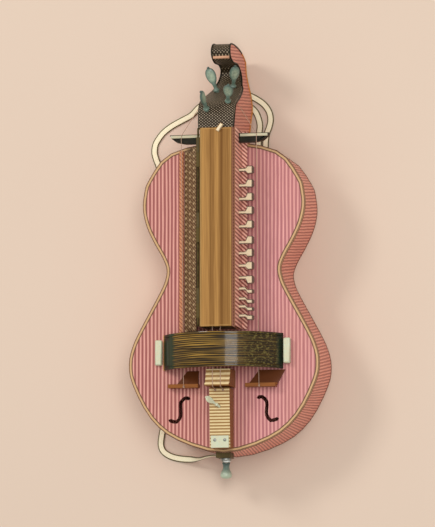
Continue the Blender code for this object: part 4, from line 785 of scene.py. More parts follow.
def handle_wood(start, end):
    """Boxwood, turned and stained, paler towards its end, partly where the hand wore the stain off and
    partly as a painted highlight.
    """
    # Dark blue green at the neck, and pale and polished over the end, whose paleness is partly a painted
    # highlight.
    look, tree = begin("boxwood_turned_worn_and_highlighted", IOR=1.5, Coat_Weight=0.2, Coat_Roughness=0.25)
    fibre = 1.2 * MM
    fibre_rise = 0.06 * MM
    grain = cloud(tree, (1, 10, 1), fibre)
    # Partly wear and partly painted highlight: the wood turns paler towards the handle's end.
    far = add(tree, "ShaderNodeMapRange", (position(tree)["Y"], start, end)).outputs[0]
    rubbed = add(tree, "ShaderNodeMath", (grain, 0.35, far), operation="MULTIPLY_ADD").outputs[0]
    stops = ((0.15, "#2C4440"), (0.6, "#74887A"), (1.0, "#ACB89E"))
    colour = add(tree, "ShaderNodeValToRGB", (rubbed,), stops).outputs["Color"]
    return surface(look, colour, rubbed, (0.45, 0.3), grain, fibre_rise, between=(0.0, 1.0))


def twisted_gut(sizes):
    """Sheep gut, twisted, dried and oiled."""
    # An amber, slightly clear cord with a tight twist.
    look, tree = begin("gut_twisted_oiled", IOR=1.5, Subsurface_Weight=0.1)
    twist_pitch = 1 * MM
    twist_depth = 0.05 * MM
    x, y, z = position(tree)
    around = add(tree, "ShaderNodeMath", (x, z), operation="ADD").outputs[0]
    slant = add(tree, "ShaderNodeMath", (y, around), operation="ADD").outputs[0]
    twist = stripes(tree, slant, twist_pitch)
    colour = stained(tree, "#94705C", sizes.gut, twist)
    return surface(look, colour, twist, (0.45, 0.35), twist, twist_depth, between=(0.0, 1.0))


RUBBED_LOWER = 0.08  # how far a metal's roughness falls where it was rubbed
DULLED_HIGHER = 0.14  # and how far it rises where it has dulled


def worn_metal(name, colour, dark, roughness):
    """A metal that was filed and has dulled."""
    # Soft patchy gloss with fine file marks.
    look, tree = begin(name, Metallic=1.0)
    mark = 0.5 * MM
    patch = 5 * MM
    mark_depth = 0.03 * MM
    patches = cloud(tree, EVEN, patch)
    mixed = stained(tree, colour, dark, patches, 0.35, 0.7, 0.6)
    rough = (roughness - RUBBED_LOWER, roughness + DULLED_HIGHER)
    return surface(look, mixed, patches, rough, cloud(tree, (1, 1, 12), mark), mark_depth)


def woven_band(sizes):
    """Linen thread, tablet-woven into a band with olive brown edges."""
    # Cream ribs cross the band, and a dark line of threads runs along each edge.
    look, tree = begin("linen_woven_band", IOR=1.5, Sheen_Weight=0.15, Sheen_Roughness=0.5)
    fuzz_size = 0.8 * MM
    thread_rise = 0.25 * MM
    unrolled = add(tree, "ShaderNodeTexCoord").outputs["UV"]
    along, across = add(tree, "ShaderNodeSeparateXYZ", (unrolled,)).outputs[:2]
    warp = stripes(tree, across, sizes.thread_pitch)
    folded = add(tree, "ShaderNodeMath", (across, sizes.thread_pitch), operation="PINGPONG").outputs[0]
    weft = add(tree, "ShaderNodeMath", (along, folded), operation="ADD").outputs[0]
    weft = stripes(tree, weft, sizes.thread_pitch)
    threads = add(tree, "ShaderNodeMath", (warp, weft), operation="MULTIPLY").outputs[0]
    fuzz = cloud(tree, EVEN, fuzz_size, 4.0)
    colour = stained(tree, sizes.cloth, "#D8CCA6", threads, 0.5, 0.0, 0.15)
    colour = stained(tree, colour, "#D8CCA6", fuzz, 0.5, 0.8, 0.2)
    out = add(tree, "ShaderNodeMath", (across,), operation="ABSOLUTE").outputs[0]
    inner = sizes.width / 2 - sizes.selvedge_width
    edge = add(tree, "ShaderNodeMath", (out, inner), operation="GREATER_THAN").outputs[0]
    colour = stained(tree, colour, sizes.selvedge, edge)
    return surface(look, colour, fuzz, (0.75, 0.92), threads, thread_rise)


def painted_floor(sizes):
    """A board painted with matt paint."""
    # An even pale ground, only just uneven.
    look, tree = begin("paint_rolled_matt", IOR=1.45, Specular_IOR_Level=0.2)
    patch = 400 * MM
    paint_rise = 0.02 * MM
    patches = cloud(tree, EVEN, patch)
    colour = stained(tree, sizes.floor, "#D2BBA8", patches, 0.3, 0.7, 0.12)
    return surface(look, colour, patches, (0.85, 0.95), patches, paint_rise, between=(0.0, 1.0))


# How each material is made that more than one group of pieces has
SHARED = {
    "flamed_maple_varnished": lambda: flamed_maple(bpy.context.scene.hurdy_body),
    "bone_sawn": lambda: sawn_bone("bone_sawn", bpy.context.scene.hurdy_keybox.bone),
    "bone_bleached": lambda: sawn_bone("bone_bleached", bpy.context.scene.hurdy_cover.seat),
    "pear_dyed_inlay": dark_line,
    "maple_planed_bare": lambda: planed_maple("maple_planed_bare", "#D8BC8E", "#B8935E"),
    "beech_stained_dark": lambda: turned_pear("beech_stained_dark", "#54441A", "#2E240C"),
    "pear_ebonised_waxed": lambda: ebonised_pear("pear_ebonised_waxed", "#151107", "#302C18"),
    "iron_forged": lambda: worn_metal("iron_forged", "#A9A9A2", "#66635A", 0.4),
}


def shared(name):
    """The material of this name, made the first time that it is asked for."""
    return bpy.data.materials.get(name) or SHARED[name]()


def wear(look, *nodes):
    """Gives CAD nodes a look in their own material slots."""
    for node in nodes:
        if node not in frame["nodes"]:
            raise RuntimeError(f"the frame has no piece called {node}")
        obj = frame["nodes"][node]
        obj.data.materials.clear()
        obj.data.materials.append(look)


def new_piece(name, edit, look, body, sharp=SAWN):
    """An object of this mesh, riding on a body. Its points are in the CAD's frame, so it sits at zero."""
    bmesh.ops.recalc_face_normals(edit, faces=edit.faces)
    if not edit.faces:
        raise RuntimeError(f"{name} has no faces")
    mesh = bpy.data.meshes.new(name)
    edit.to_mesh(mesh)
    edit.free()
    mesh.materials.append(look)
    mesh.shade_smooth()
    mesh.set_sharp_from_angle(angle=sharp)
    obj = bpy.data.objects.new(name, mesh)
    bpy.context.scene.collection.objects.link(obj)
    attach(obj, body)
    return obj


def soften(piece, width, segments=2):
    """Rounds a piece's edges."""
    bevel = piece.modifiers.new("soft edges", "BEVEL")
    bevel.width = width
    bevel.segments = segments
    bevel.limit_method = "ANGLE"
    bevel.angle_limit = EDGE
    bevel.harden_normals = True
    return piece


def node_mesh(node, least=WELD):
    """A CAD node's shape, with its flat faces whole and each edge shorter than the least closed up."""
    edit = bmesh.new()
    edit.from_mesh(frame["nodes"][node].data)
    bmesh.ops.remove_doubles(edit, verts=edit.verts, dist=WELD)
    bmesh.ops.dissolve_limit(edit, angle_limit=FLAT, verts=edit.verts, edges=edit.edges)
    bmesh.ops.dissolve_degenerate(edit, dist=least, edges=edit.edges)
    edit.normal_update()
    return edit


def dressed(node, look, width, least=WELD):
    """A copy of a CAD node with rounded edges, which stands for it."""
    piece = new_piece(f"{node}_dressed", node_mesh(node, least), look, BODY_OF[node])
    soften(piece, width)
    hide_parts(node)
    return piece


def bridged(edit, first, second, uvs=None):
    """Faces between two rings of as many points, or between a ring and one point."""
    count = max(len(first), len(second))
    layer = edit.loops.layers.uv.verify()
    for i in range(count):
        j = (i + 1) % count
        ring = [points[k % len(points)] for points, k in ((first, i), (first, j), (second, j), (second, i))]
        places = [(0, i), (0, i + 1), (1, i + 1), (1, i)]
        kept = [k for k in range(4) if ring[k] not in ring[:k]]
        if len(kept) < 3:
            continue
        face = edit.faces.new([ring[k] for k in kept])
        if uvs:
            for loop, k in zip(face.loops, kept):
                end, place = places[k]
                loop[layer].uv = (uvs[0][end], uvs[1][place])


def lathe(edit, profile, start, way, steps):
    """Turns a profile of (radius, distance) points about the line from start along way."""
    turn = Vector(way).to_track_quat("Z", "Y").to_matrix()
    rings = []
    for radius, distance in profile:
        count = steps if radius > WELD else 1
        ring = []
        for k in range(count):
            angle = 2 * math.pi * k / count
            spot = Vector((radius * math.cos(angle), radius * math.sin(angle), distance))
            ring.append(edit.verts.new(Vector(start) + turn @ spot))
        rings.append(ring)
    for first, second in zip(rings, rings[1:]):
        bridged(edit, first, second)
    return edit


def lengths_of(path):
    """How far along its path each point is."""
    found = [0.0]
    for first, second in zip(path, path[1:]):
        found.append(found[-1] + (second - first).length)
    return found


def sweep(edit, path, section, ups, closed=False, rings_at=None):
    """Carries a ring of (side, up) points along a path.

    ups is the way up, one for all or one for each point, and rings_at gives each point a ring of its own.
    """
    count = len(path)
    if isinstance(ups, Vector):
        ups = [ups] * count
    rings = []
    for i, point in enumerate(path):
        before = path[i - 1] if closed or i else point
        after = path[(i + 1) % count] if closed or i < count - 1 else point
        way = (after - before).normalized()
        side = way.cross(ups[i]).normalized()
        up = side.cross(way)
        ring = rings_at(i) if rings_at else section
        rings.append([edit.verts.new(point + side * a + up * b) for a, b in ring])
    lengths = lengths_of(path)
    sides = [a for a, b in section] + [section[0][0]]
    for i in range(count - 1):
        bridged(edit, rings[i], rings[i + 1], ((lengths[i], lengths[i + 1]), sides))
    if closed:
        end = lengths[-1] + (path[0] - path[-1]).length
        bridged(edit, rings[-1], rings[0], ((lengths[-1], end), sides))
    else:
        edit.faces.new(rings[0])
        edit.faces.new(rings[-1][::-1])
    return edit


def rounded_bar(width, height, corner, steps=2):
    """The section of a bar with rounded corners, as (side, up) points round its middle."""
    found = []
    for sign_x, sign_y, start in ((1, 1, 0.0), (-1, 1, 0.5), (-1, -1, 1.0), (1, -1, 1.5)):
        for k in range(steps + 1):
            angle = math.pi * (start + 0.5 * k / steps)
            x = sign_x * (width / 2 - corner) + corner * math.cos(angle)
            y = sign_y * (height / 2 - corner) + corner * math.sin(angle)
            found.append((x, y))
    return found


def round_section(radius, sides):
    """A round section with this many sides, as (side, up) points."""
    turns = [2 * math.pi * k / sides for k in range(sides)]
    return [(radius * math.cos(turn), radius * math.sin(turn)) for turn in turns]


def block(edit, low, high, turn=None):
    """A box between two corners, turned about its middle."""
    size = Vector(high) - Vector(low)
    place = Matrix.Translation((Vector(high) + Vector(low)) / 2)
    if turn is not None:
        place = place @ turn
    bmesh.ops.create_cube(edit, size=1.0, matrix=place @ Matrix.Diagonal((*size, 1.0)))
    return edit


def smooth_path(points, steps):
    """Points on a curve through these ones, with this many to each stretch."""
    given = [Vector(p) for p in points]
    padded = [2 * given[0] - given[1], *given, 2 * given[-1] - given[-2]]
    found = []
    for i in range(len(given) - 1):
        before, start, end, after = padded[i : i + 4]
        for k in range(steps):
            t = k / steps
            found.append(
                start
                + 0.5 * t * (end - before)
                + t * t * (before - 2.5 * start + 2 * end - 0.5 * after)
                + t * t * t * (1.5 * start - 1.5 * end + 0.5 * after - 0.5 * before)
            )
    found.append(given[-1])
    return found


WAIST_SHARE = 0.5925  # the waist's place along the body, from which its whole outline can be seen


def body_outline():
    """The soundbox's outline in order, as flat points."""
    low, high = corners("back_board")
    middle = Vector((0.0, low.y + WAIST_SHARE * (high.y - low.y)))
    spots = {}
    for vertex in frame["nodes"]["back_board"].data.vertices:
        if vertex.co.z < low.z + WELD:
            spot = Vector((vertex.co.x, vertex.co.y))
            away = spot - middle
            spots[round(math.atan2(away.y, away.x), 4)] = spot
    return [spots[angle] for angle in sorted(spots)]


def bent_rib(look, width):
    """The ribs, which carry how far round the body each point is, so that the flames follow the bend."""
    edit = node_mesh("rib_band")
    outline = body_outline()
    lengths = lengths_of(outline)
    whole = lengths[-1] + (outline[0] - outline[-1]).length
    layer = edit.loops.layers.uv.verify()
    for face in edit.faces:
        places = []
        for vertex in face.verts:
            nearest = min(range(len(outline)), key=lambda k: (outline[k] - vertex.co.xy).length)
            places.append(lengths[nearest])
        for loop, place in zip(face.loops, places):
            behind = max(places) - place > whole / 2
            loop[layer].uv = (place + whole if behind else place, loop.vert.co.z)
    piece = new_piece("rib_band_bent", edit, look, BODY_OF["rib_band"])
    soften(piece, width)
    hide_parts("rib_band")


def moved_out(loop, distance):
    """A closed outline moved outward by this distance, or inward where it is negative."""
    found = []
    for i, spot in enumerate(loop):
        way = (loop[(i + 1) % len(loop)] - loop[i - 1]).normalized()
        found.append(spot + Vector((way.y, -way.x)) * distance)
    return found


BINDING_WIDTH = 4.3 * MM
PURFLING_RISE = 0.25 * MM


def lines_round(lines, section):
    """Thin lines that run round the body, each along a flat outline at its own height."""
    edit = bmesh.new()
    for outline, z in lines:
        sweep(edit, [Vector((p.x, p.y, z)) for p in outline], section, UP, closed=True)
    return edit


class HURDY_OT_soundbox(bpy.types.Operator):
    """Dress the soundboard, ribs, back, binding and inner blocks"""

    bl_idname = "hurdy.soundbox"
    bl_label = "Soundbox"

    def execute(self, context):
        sizes = context.scene.hurdy_body
        edge = context.scene.hurdy_keybox.edge_round
        wear(varnished_spruce(sizes), "soundboard")
        wear(shared("flamed_maple_varnished"), "back_board")
        bent_rib(flamed_maple(sizes, "flamed_maple_bent", bent=True), edge / 2)
        wear(boxwood_strip(sizes), "edge_binding")
        wear(shared("maple_planed_bare"), "neck_block", "tail_block", "axle_brace", "upper_brace")
        outline = body_outline()
        width = sizes.purfling_width
        section = rounded_bar(width, 2 * PURFLING_RISE, PURFLING_RISE / 2, steps=1)
        insets = (width / 2, BINDING_WIDTH + width / 2)
        purfling = lines_round([(moved_out(outline, -inset), BOARD_TOP) for inset in insets], section)
        new_piece("purfling", purfling, shared("pear_dyed_inlay"), "body")
        heights = (corners("edge_binding")[0].z, corners("back_board")[1].z)
        edges = lines_round([(outline, z) for z in heights], section)
        new_piece("edge_lines", edges, shared("pear_dyed_inlay"), "body")
        return {"FINISHED"}


LID_OVERLAP = 4 * MM  # how much narrower the lid's top is than the keybox on its hinged side
LID_INLAY_INSET = 1.6 * MM
LID_INLAY_WIDTH = 0.9 * MM
LID_INLAY_RISE = 0.12 * MM
END_LINE_SHARE = 0.9  # the cross lines' rise, as a share of the long ones'
PULL_X = 6.5 * MM
PULL_LENGTH = 13.4 * MM
PULL_WIDTH = 5.4 * MM
PULL_HEIGHT = 3.2 * MM
PULL_ROUND = 1 * MM
PULL_TURN = math.radians(55)
ROPE_STRANDS = 3
ROPE_SIDES = 24
ROPE_STEP = 1 * MM
ROPE_CUT_SHARE = 0.2
CARVING_EMBED = 0.5 * MM
APRON_LEAN = 0.3  # how far the apron's slope looks both to the left and up, at the least


def rope(edit, low, high, pitch):
    """A three-stranded rope that lies along Y in this box."""
    wide, tall = (high.x - low.x) / 2, (high.z - low.z) / 2
    middle = (low + high) / 2
    count = int((high.y - low.y) / ROPE_STEP)
    path = [Vector((middle.x, low.y + (high.y - low.y) * i / count, middle.z)) for i in range(count + 1)]

    def lobe(i, k):
        twist = 2 * math.pi * (path[i].y - low.y) / (pitch * ROPE_STRANDS)
        return abs(math.sin(ROPE_STRANDS * (2 * math.pi * k / ROPE_SIDES - twist) / 2))

    def ring(i):
        found = []
        for k, (a, b) in enumerate(round_section(1.0, ROPE_SIDES)):
            size = 1 - ROPE_CUT_SHARE * (1 - lobe(i, k)) ** 2
            found.append((wide * size * a, tall * size * b))
        return found

    sweep(edit, path, ring(0), UP, rings_at=ring)
    layer = edit.verts.layers.float.new(WORN)
    for number, vertex in enumerate(edit.verts):
        vertex[layer] = lobe(number // ROPE_SIDES, number % ROPE_SIDES)
    return edit


def apron_plane():
    """The apron's outer face: its foot, the way up its slope, its facing, its width and its two ends."""
    edit = node_mesh("keybox_apron")
    slopes = [face for face in edit.faces if min(-face.normal.x, face.normal.z) > APRON_LEAN]
    slope = max(slopes, key=lambda face: face.calc_area())
    out = slope.normal.copy()
    spots = [v.co.copy() for v in slope.verts]
    edit.free()
    foot = min(spots, key=lambda p: p.z)
    way = TO_PEGBOX.cross(out)
    way = way if way.z > 0 else -way
    width = max((p - foot).dot(way) for p in spots)
    return foot, way, out, width, min(p.y for p in spots), max(p.y for p in spots)


def lozenges(sizes):
    """The apron's carved panel: columns of low four-sided points, each column half a step further on."""
    foot, way, out, width, low_y, high_y = apron_plane()
    columns = max(1, round(width / sizes.lozenge_width))
    rows = 2 * columns
    steps = 2 * max(1, round((high_y - low_y) / sizes.lozenge_length))
    edit = bmesh.new()
    layer = edit.verts.layers.float.new(WORN)
    grid = {}
    for i in range(steps + 1):
        for j in range(rows + 1):
            raised = j % 2 == 1 and (i + j // 2) % 2 == 1 and 0 < i < steps
            spot = Vector((foot.x, low_y + (high_y - low_y) * i / steps, foot.z)) + way * (width * j / rows)
            grid[i, j] = edit.verts.new(spot + out * (sizes.lozenge_height if raised else 0.0))
            grid[i, j][layer] = float(raised)
    for i in range(steps):
        for j in range(rows):
            square = [grid[i, j], grid[i + 1, j], grid[i + 1, j + 1], grid[i, j + 1]]
            top = next((k for k in range(4) if square[k][layer] > 0), 0)
            a, b, c, d = square[top:] + square[:top]
            edit.faces.new((a, b, c))
            edit.faces.new((a, c, d))
    rim = [grid[i, 0] for i in range(steps + 1)] + [grid[steps, j] for j in range(1, rows + 1)]
    rim += [grid[i, rows] for i in range(steps - 1, -1, -1)] + [grid[0, j] for j in range(rows - 1, 0, -1)]
    under = [edit.verts.new(v.co - out * CARVING_EMBED) for v in rim]
    for k in range(len(rim)):
        m = (k + 1) % len(rim)
        edit.faces.new((rim[k], rim[m], under[m], under[k]))
    edit.faces.new(under)
    return edit


def lid_inlay():
    """A thin line let into the lid's top, a little inside its edges."""
    half = -corners("keybox_floor")[0].x - LID_OVERLAP - LID_INLAY_INSET
    start = KEYBOX_START + LID_INLAY_INSET
    end = KEYBOX_END - LID_INLAY_INSET
    rise = LID_INLAY_RISE
    wide = LID_INLAY_WIDTH / 2
    edit = bmesh.new()
    for x in (-half, half):
        block(edit, (x - wide, start, WALL_TOP - rise), (x + wide, end, WALL_TOP + rise))
    for y in (start, end):
        block(edit, (-half, y - wide, WALL_TOP - rise), (half, y + wide, WALL_TOP + rise * END_LINE_SHARE))
    return edit


class HURDY_OT_keybox(bpy.types.Operator):
    """Dress the keybox with its lid, apron, rope moulding, walls and nut"""

    bl_idname = "hurdy.keybox"
    bl_label = "Keybox"

    def execute(self, context):
        sizes = context.scene.hurdy_keybox
        edge = sizes.edge_round
        dressed("keybox_lid", striped_walnut(sizes), edge)
        pale = turned_pear("boxwood_inlaid", "#B48C50", "#94682C")
        new_piece("lid_inlay", lid_inlay(), pale, "lid")
        middle = Vector((PULL_X, KEYBOX_END, WALL_TOP))
        half = Vector((PULL_LENGTH, PULL_WIDTH, 0)) / 2
        top = middle + half + UP * PULL_HEIGHT
        pull = block(bmesh.new(), middle - half, top, Matrix.Rotation(PULL_TURN, 4, "Z"))
        pull_face = new_piece("lid_pull_facing", pull, shared("bone_sawn"), "lid")
        soften(pull_face, PULL_ROUND, segments=3)
        wall = hatched_maple(context.scene.hurdy_body)
        dressed("keybox_floor", wall, edge)
        dressed("keybox_key_wall", wall, edge)
        wear(shared("beech_stained_dark"), "keybox_bass_wall", "keybox_wheel_end")
        wear(worn_metal("iron_browned", "#5A4E2E", "#33291A", 0.6), "lid_hinge_pin")
        oak = carved_oak(sizes)
        wear(oak, "keybox_apron")
        new_piece("apron_carving", lozenges(sizes), oak, "body", FACETED)
        cord = rope(bmesh.new(), *corners("apron_moulding"), sizes.strand_pitch)
        moulding = new_piece("rope_moulding", cord, pear_rope(sizes), "body", CARVED)
        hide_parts("apron_moulding")
        dressed("melody_nut", shared("bone_sawn"), edge / 2)
        return {"FINISHED"}


class HURDY_OT_keys(bpy.types.Operator):
    """Dress the thirteen keys"""

    bl_idname = "hurdy.keys"
    bl_label = "Keys"

    def execute(self, context):
        sizes = context.scene.hurdy_keybox
        nodes = sorted(node for node in frame["nodes"] if node.startswith("key_"))
        if not nodes:
            raise RuntimeError("the frame has no keys")
        look = shade_bordered_key(sizes.bone, max(corners(node)[1].x for node in nodes))
        for node in nodes:
            dressed(node, look, sizes.edge_round)
        return {"FINISHED"}


COVER_STEPS = 88
COVER_FOOT_SHARE = 0.25  # how much of its wall's thickness the cover's foot stands above the CAD's
WALL_CORNER_SHARE = 0.2  # how much of the wall's thickness its corners are rounded
CORNER_CUT_SHARE = 0.25  # how far a rounded corner's middle is inside the square corner
GROOVE_INSET = 4.5 * MM
GROOVE_WIDTH = 1.2 * MM
FOOT_STRIP_LENGTH = 2.4 * MM
FOOT_STRIP_PROUD = 0.15 * MM
SEAT_ROUND = 0.8 * MM


def cover_arc():
    """The middle line of the cover's wall from left to right, the way out at each point and the width."""
    low, high = corners("wheel_cover")
    wall = bpy.context.scene.hurdy_cover.wall
    half = high.x
    rise = high.z - low.z
    radius = (half**2 + rise**2) / (2 * rise)
    middle = Vector((0.0, (low.y + high.y) / 2, high.z - radius))
    line = radius - wall / 2
    drop = math.asin((low.z + wall * COVER_FOOT_SHARE - middle.z) / line)
    path = []
    outs = []
    for k in range(COVER_STEPS + 1):
        angle = math.pi - drop - (math.pi - 2 * drop) * k / COVER_STEPS
        out = Vector((math.cos(angle), 0.0, math.sin(angle)))
        path.append(middle + out * line)
        outs.append(out)
    return path, outs, high.y - low.y


def cover_section(width, wall, groove):
    """The cover's wall cut across, with a groove near each edge of its outer face."""
    half = width / 2
    thick = wall / 2
    corner = wall * WALL_CORNER_SHARE
    cut = corner * CORNER_CUT_SHARE
    side = [
        (half - corner, -thick),
        (half, -thick + corner),
        (half, thick - corner),
        (half - cut, thick - cut),
    ]
    top = [
        (half - corner, thick),
        (half - GROOVE_INSET + GROOVE_WIDTH / 2, thick),
        (half - GROOVE_INSET, thick - groove),
        (half - GROOVE_INSET - GROOVE_WIDTH / 2, thick),
    ]
    return top + [(-a, b) for a, b in reversed(side + top)] + side


class HURDY_OT_cover(bpy.types.Operator):
    """Build the arched wheel cover with its foot strips, and dress its seats"""

    bl_idname = "hurdy.cover"
    bl_label = "Wheel cover"

    def execute(self, context):
        sizes = context.scene.hurdy_cover
        path, outs, width = cover_arc()
        body = BODY_OF["wheel_cover"]
        edit = sweep(bmesh.new(), path, cover_section(width, sizes.wall, sizes.groove), outs)
        cover = new_piece("arched_cover", edit, lacquered_cover(sizes), body, BENT)
        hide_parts("wheel_cover")
        count = sum(length <= FOOT_STRIP_LENGTH for length in lengths_of(path)) + 1
        proud = 2 * FOOT_STRIP_PROUD
        strip = rounded_bar(width + proud, sizes.wall + proud, sizes.wall * WALL_CORNER_SHARE)
        yellow = turned_pear("boxwood_foot_strip", "#D9A63C", "#A8742A", ALONG_X)
        # Painted shade: the right foot strip is ebonised black where the left one is yellow boxwood, for
        # the shade over the cover's right end.
        black = shared("pear_ebonised_waxed")
        feet = {"left": (slice(0, count), yellow), "right": (slice(-count, None), black)}
        for side, (part, wood) in feet.items():
            edit = sweep(bmesh.new(), path[part], strip, outs[part])
            new_piece(f"cover_foot_strip_{side}", edit, wood, body)
        for side in SIDES:
            dressed(f"cover_seat_{side}", shared("bone_bleached"), SEAT_ROUND)
        return {"FINISHED"}


NAIL_RADIUS = 2.4 * MM
NAIL_RISE = 1.1 * MM
NAIL_PLACES = ((-7.6 * MM, 17 * MM), (7.6 * MM, 17 * MM))  # to the side, and from the tail
DOME_STEPS = 5
DOME_SIDES = 20
PLATE_THICKNESS = 1.5 * MM
SHADE_WEDGE_START = 5.6 * MM  # from a drone bridge's foot to where its wedge is painted dark, as painted shade for the shadow under the wheel cover
NUT_STRIP_INSET = 1.8 * MM
NUT_STRIP_DEPTH = 2.2 * MM
NUT_STRIP_START = 5.2 * MM  # from the bar's far face
NUT_STRIP_END = 1 * MM
STRIP_PROUD = 0.2 * MM
KNOT_RADIUS = 1.5 * MM
KNOT_TURN_SHARES = (0.7, 0.36, 0.62)  # a turn's radius, its cord's radius and the step between turns
KNOT_STEPS = 16
KNOT_SIDES = 6
KNOT_LEAN = 0.06
DRONE_KNOT_PLACE = (0.5 * MM, 1 * MM, 0.8 * MM)  # in from the string's side, along the bridge and above it
MELODY_KNOT_PLACE = (-3.4 * MM, 0.6 * MM)  # along the tailpiece from its end, and above it
BAR_LEAST = 0.45 * MM  # a nut bar's edges shorter than this are closed up


def dome(edit, spot, radius, rise, way=UP):
    """A low round nail head."""
    profile = [(0.0, 0.0), (radius, 0.0)]
    for k in range(1, DOME_STEPS):
        angle = math.pi / 2 * k / DOME_STEPS
        profile.append((radius * math.cos(angle), rise * math.sin(angle)))
    profile.append((0.0, rise))
    return lathe(edit, profile, spot, way, DOME_SIDES)


def string_knot(edit, spot, radius):
    """A string's end tied round: three turns beside each other."""
    turn, cord, step = (radius * share for share in KNOT_TURN_SHARES)
    for k in (-1, 0, 1):
        middle = Vector(spot) + TO_PEGBOX * (k * step)
        path = []
        for place in range(KNOT_STEPS + 1):
            angle = 2 * math.pi * place / KNOT_STEPS
            path.append(middle + Vector((math.cos(angle), KNOT_LEAN * angle, math.sin(angle))) * turn)
        sweep(edit, path, round_section(cord, KNOT_SIDES), TO_PEGBOX)
    return edit


class HURDY_OT_strings(bpy.types.Operator):
    """Dress the strings with their bridges, nut bars, tailpiece and ties"""

    bl_idname = "hurdy.strings"
    bl_label = "Strings and tailpiece"

    def execute(self, context):
        sizes = context.scene.hurdy_fittings
        edge = context.scene.hurdy_keybox.edge_round
        gut = twisted_gut(sizes)
        wear(gut, *(node for node in frame["nodes"] if "_string_" in node))
        tail_low, tail_high = corners("tailpiece")
        bands = banded_veneer(sizes, "boxwood_walnut_bands", sizes.tail_band_pitch, tail_low.y)
        dressed("tailpiece", bands, edge)
        bridge_start = corners("melody_bridge")[0].y
        steps = banded_veneer(sizes, "boxwood_walnut_steps", sizes.bridge_band_pitch, bridge_start)
        dressed("melody_bridge", steps, edge / 2)
        dressed("tail_plate", shared("bone_bleached"), edge / 2)
        low, high = corners("tail_plate")
        slope = (high.z - low.z - PLATE_THICKNESS) / (high.y - low.y)
        nails = bmesh.new()
        for x, along in NAIL_PLACES:
            y = TAIL_Y + along
            z = low.z + PLATE_THICKNESS + slope * (y - low.y)
            dome(nails, (x, y, z), NAIL_RADIUS, NAIL_RISE)
        new_piece("tail_plate_nails", nails, shared("iron_forged"), "body")
        pear = turned_pear("pear_oiled", sizes.pear, "#6E3A10", ALONG_X)
        # Painted shade: the drone bridges' wedges, towards the cover, are painted dark brown for the shadow
        # that the cover casts there.
        shaded_wedge_y = corners("drone_bridge_left")[0].y + SHADE_WEDGE_START
        y = position(pear.node_tree)["Y"]
        past = add(pear.node_tree, "ShaderNodeMath", (y, shaded_wedge_y), operation="GREATER_THAN").outputs[0]
        overlaid(pear, past, "#5E3014")
        horn = sawn_bone("horn_scraped", "#B8B294")
        knots = bmesh.new()
        for side in SIDES:
            dressed(f"drone_bridge_{side}", pear, edge / 2)
            dressed(f"nut_bar_{side}", shared("pear_ebonised_waxed"), edge / 2, BAR_LEAST)
            low, high = corners(f"nut_bar_{side}")
            start = (low.x + NUT_STRIP_INSET, high.y - NUT_STRIP_START, high.z - NUT_STRIP_DEPTH)
            end = (high.x - NUT_STRIP_INSET, high.y - NUT_STRIP_END, high.z + STRIP_PROUD)
            strip = block(bmesh.new(), start, end)
            soften(new_piece(f"nut_strip_{side}", strip, horn, "body"), edge)
            low, high = corners(f"drone_bridge_{side}")
            string_low, string_high = corners(f"drone_string_{side}")
            inward, along, above = DRONE_KNOT_PLACE
            x = string_low.x + inward if side == "left" else string_high.x - inward
            knot = string_knot(bmesh.new(), (x, low.y + along, high.z + above), KNOT_RADIUS)
            new_piece(f"drone_knot_{side}", knot, gut, "body")
            string_low, string_high = corners(f"melody_string_{side}")
            x = (string_low.x + string_high.x) / 2
            along, above = MELODY_KNOT_PLACE
            string_knot(knots, (x, tail_high.y + along, tail_high.z + above), KNOT_RADIUS)
        new_piece("melody_knots", knots, gut, "body")
        return {"FINISHED"}


PEG_HEAD = (18 * MM, 6.8 * MM, 27 * MM)  # width, thickness and length
PEG_HEAD_SEAT = 24.475 * MM  # its middle above the collar's foot
# A peg's outline from its shaft's end up to its neck, as radius and distance from the collar's foot
PEG_SHAFT_PROFILE = (
    (0.0, -34 * MM),
    (2.6 * MM, -34 * MM),
    (3.35 * MM, 0.2 * MM),
    (4.5 * MM, 0.4 * MM),
    (4.8 * MM, 1.1 * MM),
    (4.8 * MM, 2.0 * MM),
    (4.3 * MM, 2.8 * MM),
    (3.1 * MM, 3.6 * MM),
    (2.7 * MM, 6.0 * MM),
    (2.8 * MM, 9.0 * MM),
    (3.4 * MM, 12.5 * MM),
    (2.4 * MM, 15.0 * MM),
    (0.0, 15.6 * MM),
)
# The outline of the button on its head, as radius and distance from the button's foot
PEG_BUTTON_PROFILE = (
    (0.0, 0.0),
    (2.0 * MM, 0.0),
    (2.3 * MM, 0.9 * MM),
    (1.9 * MM, 1.9 * MM),
    (1.0 * MM, 2.5 * MM),
    (0.0, 2.7 * MM),
)
PEG_BUTTON_EMBED = 0.5 * MM
PEG_SIDES = 24
PEG_BUTTON_SIDES = 16
PEG_HEAD_RINGS = (28, 18)  # round it, and from end to end
PEG_TURNS = {"peg_1": 1.35, "peg_2": 0.2, "peg_3": 0.0, "peg_4": 0.6, "tail_peg": math.radians(30)}
TAIL_PEG_SHARE = 0.62  # how large the tail peg is beside the others
NECK_WEAR = 0.3  # how far the stain is rubbed off a peg's shaft and neck
PEG_DISH_SHARE = 0.45  # how far each broad side of a peg's head is hollowed
PEG_NARROW_SHARE = 0.14  # how much narrower a head is at its neck than at its middle
HOOK_SHARES = (0.83, 0.73)  # the scroll's band along the pegbox and up it
HOOK_BAND_RADIUS = 2.2 * MM
HOOK_BAND_HALF = 12.5 * MM
HOOK_ROUND_SHARE = 0.6  # how much of the band's radius its corners are rounded
EDGING_RADIUS = 1.3 * MM
EDGING_SIDES = 8
EDGING_LEAST = 40 * MM  # a line of edges shorter than this gets no edging
SIDE_LOOK = 0.75  # how far sideways a face of the pegbox's side looks, at the least
FRONT_LOOK = 0.5  # and one of its front or back, at the most
BACK_LOOK = -0.25  # how far up a face of its back looks, at the most


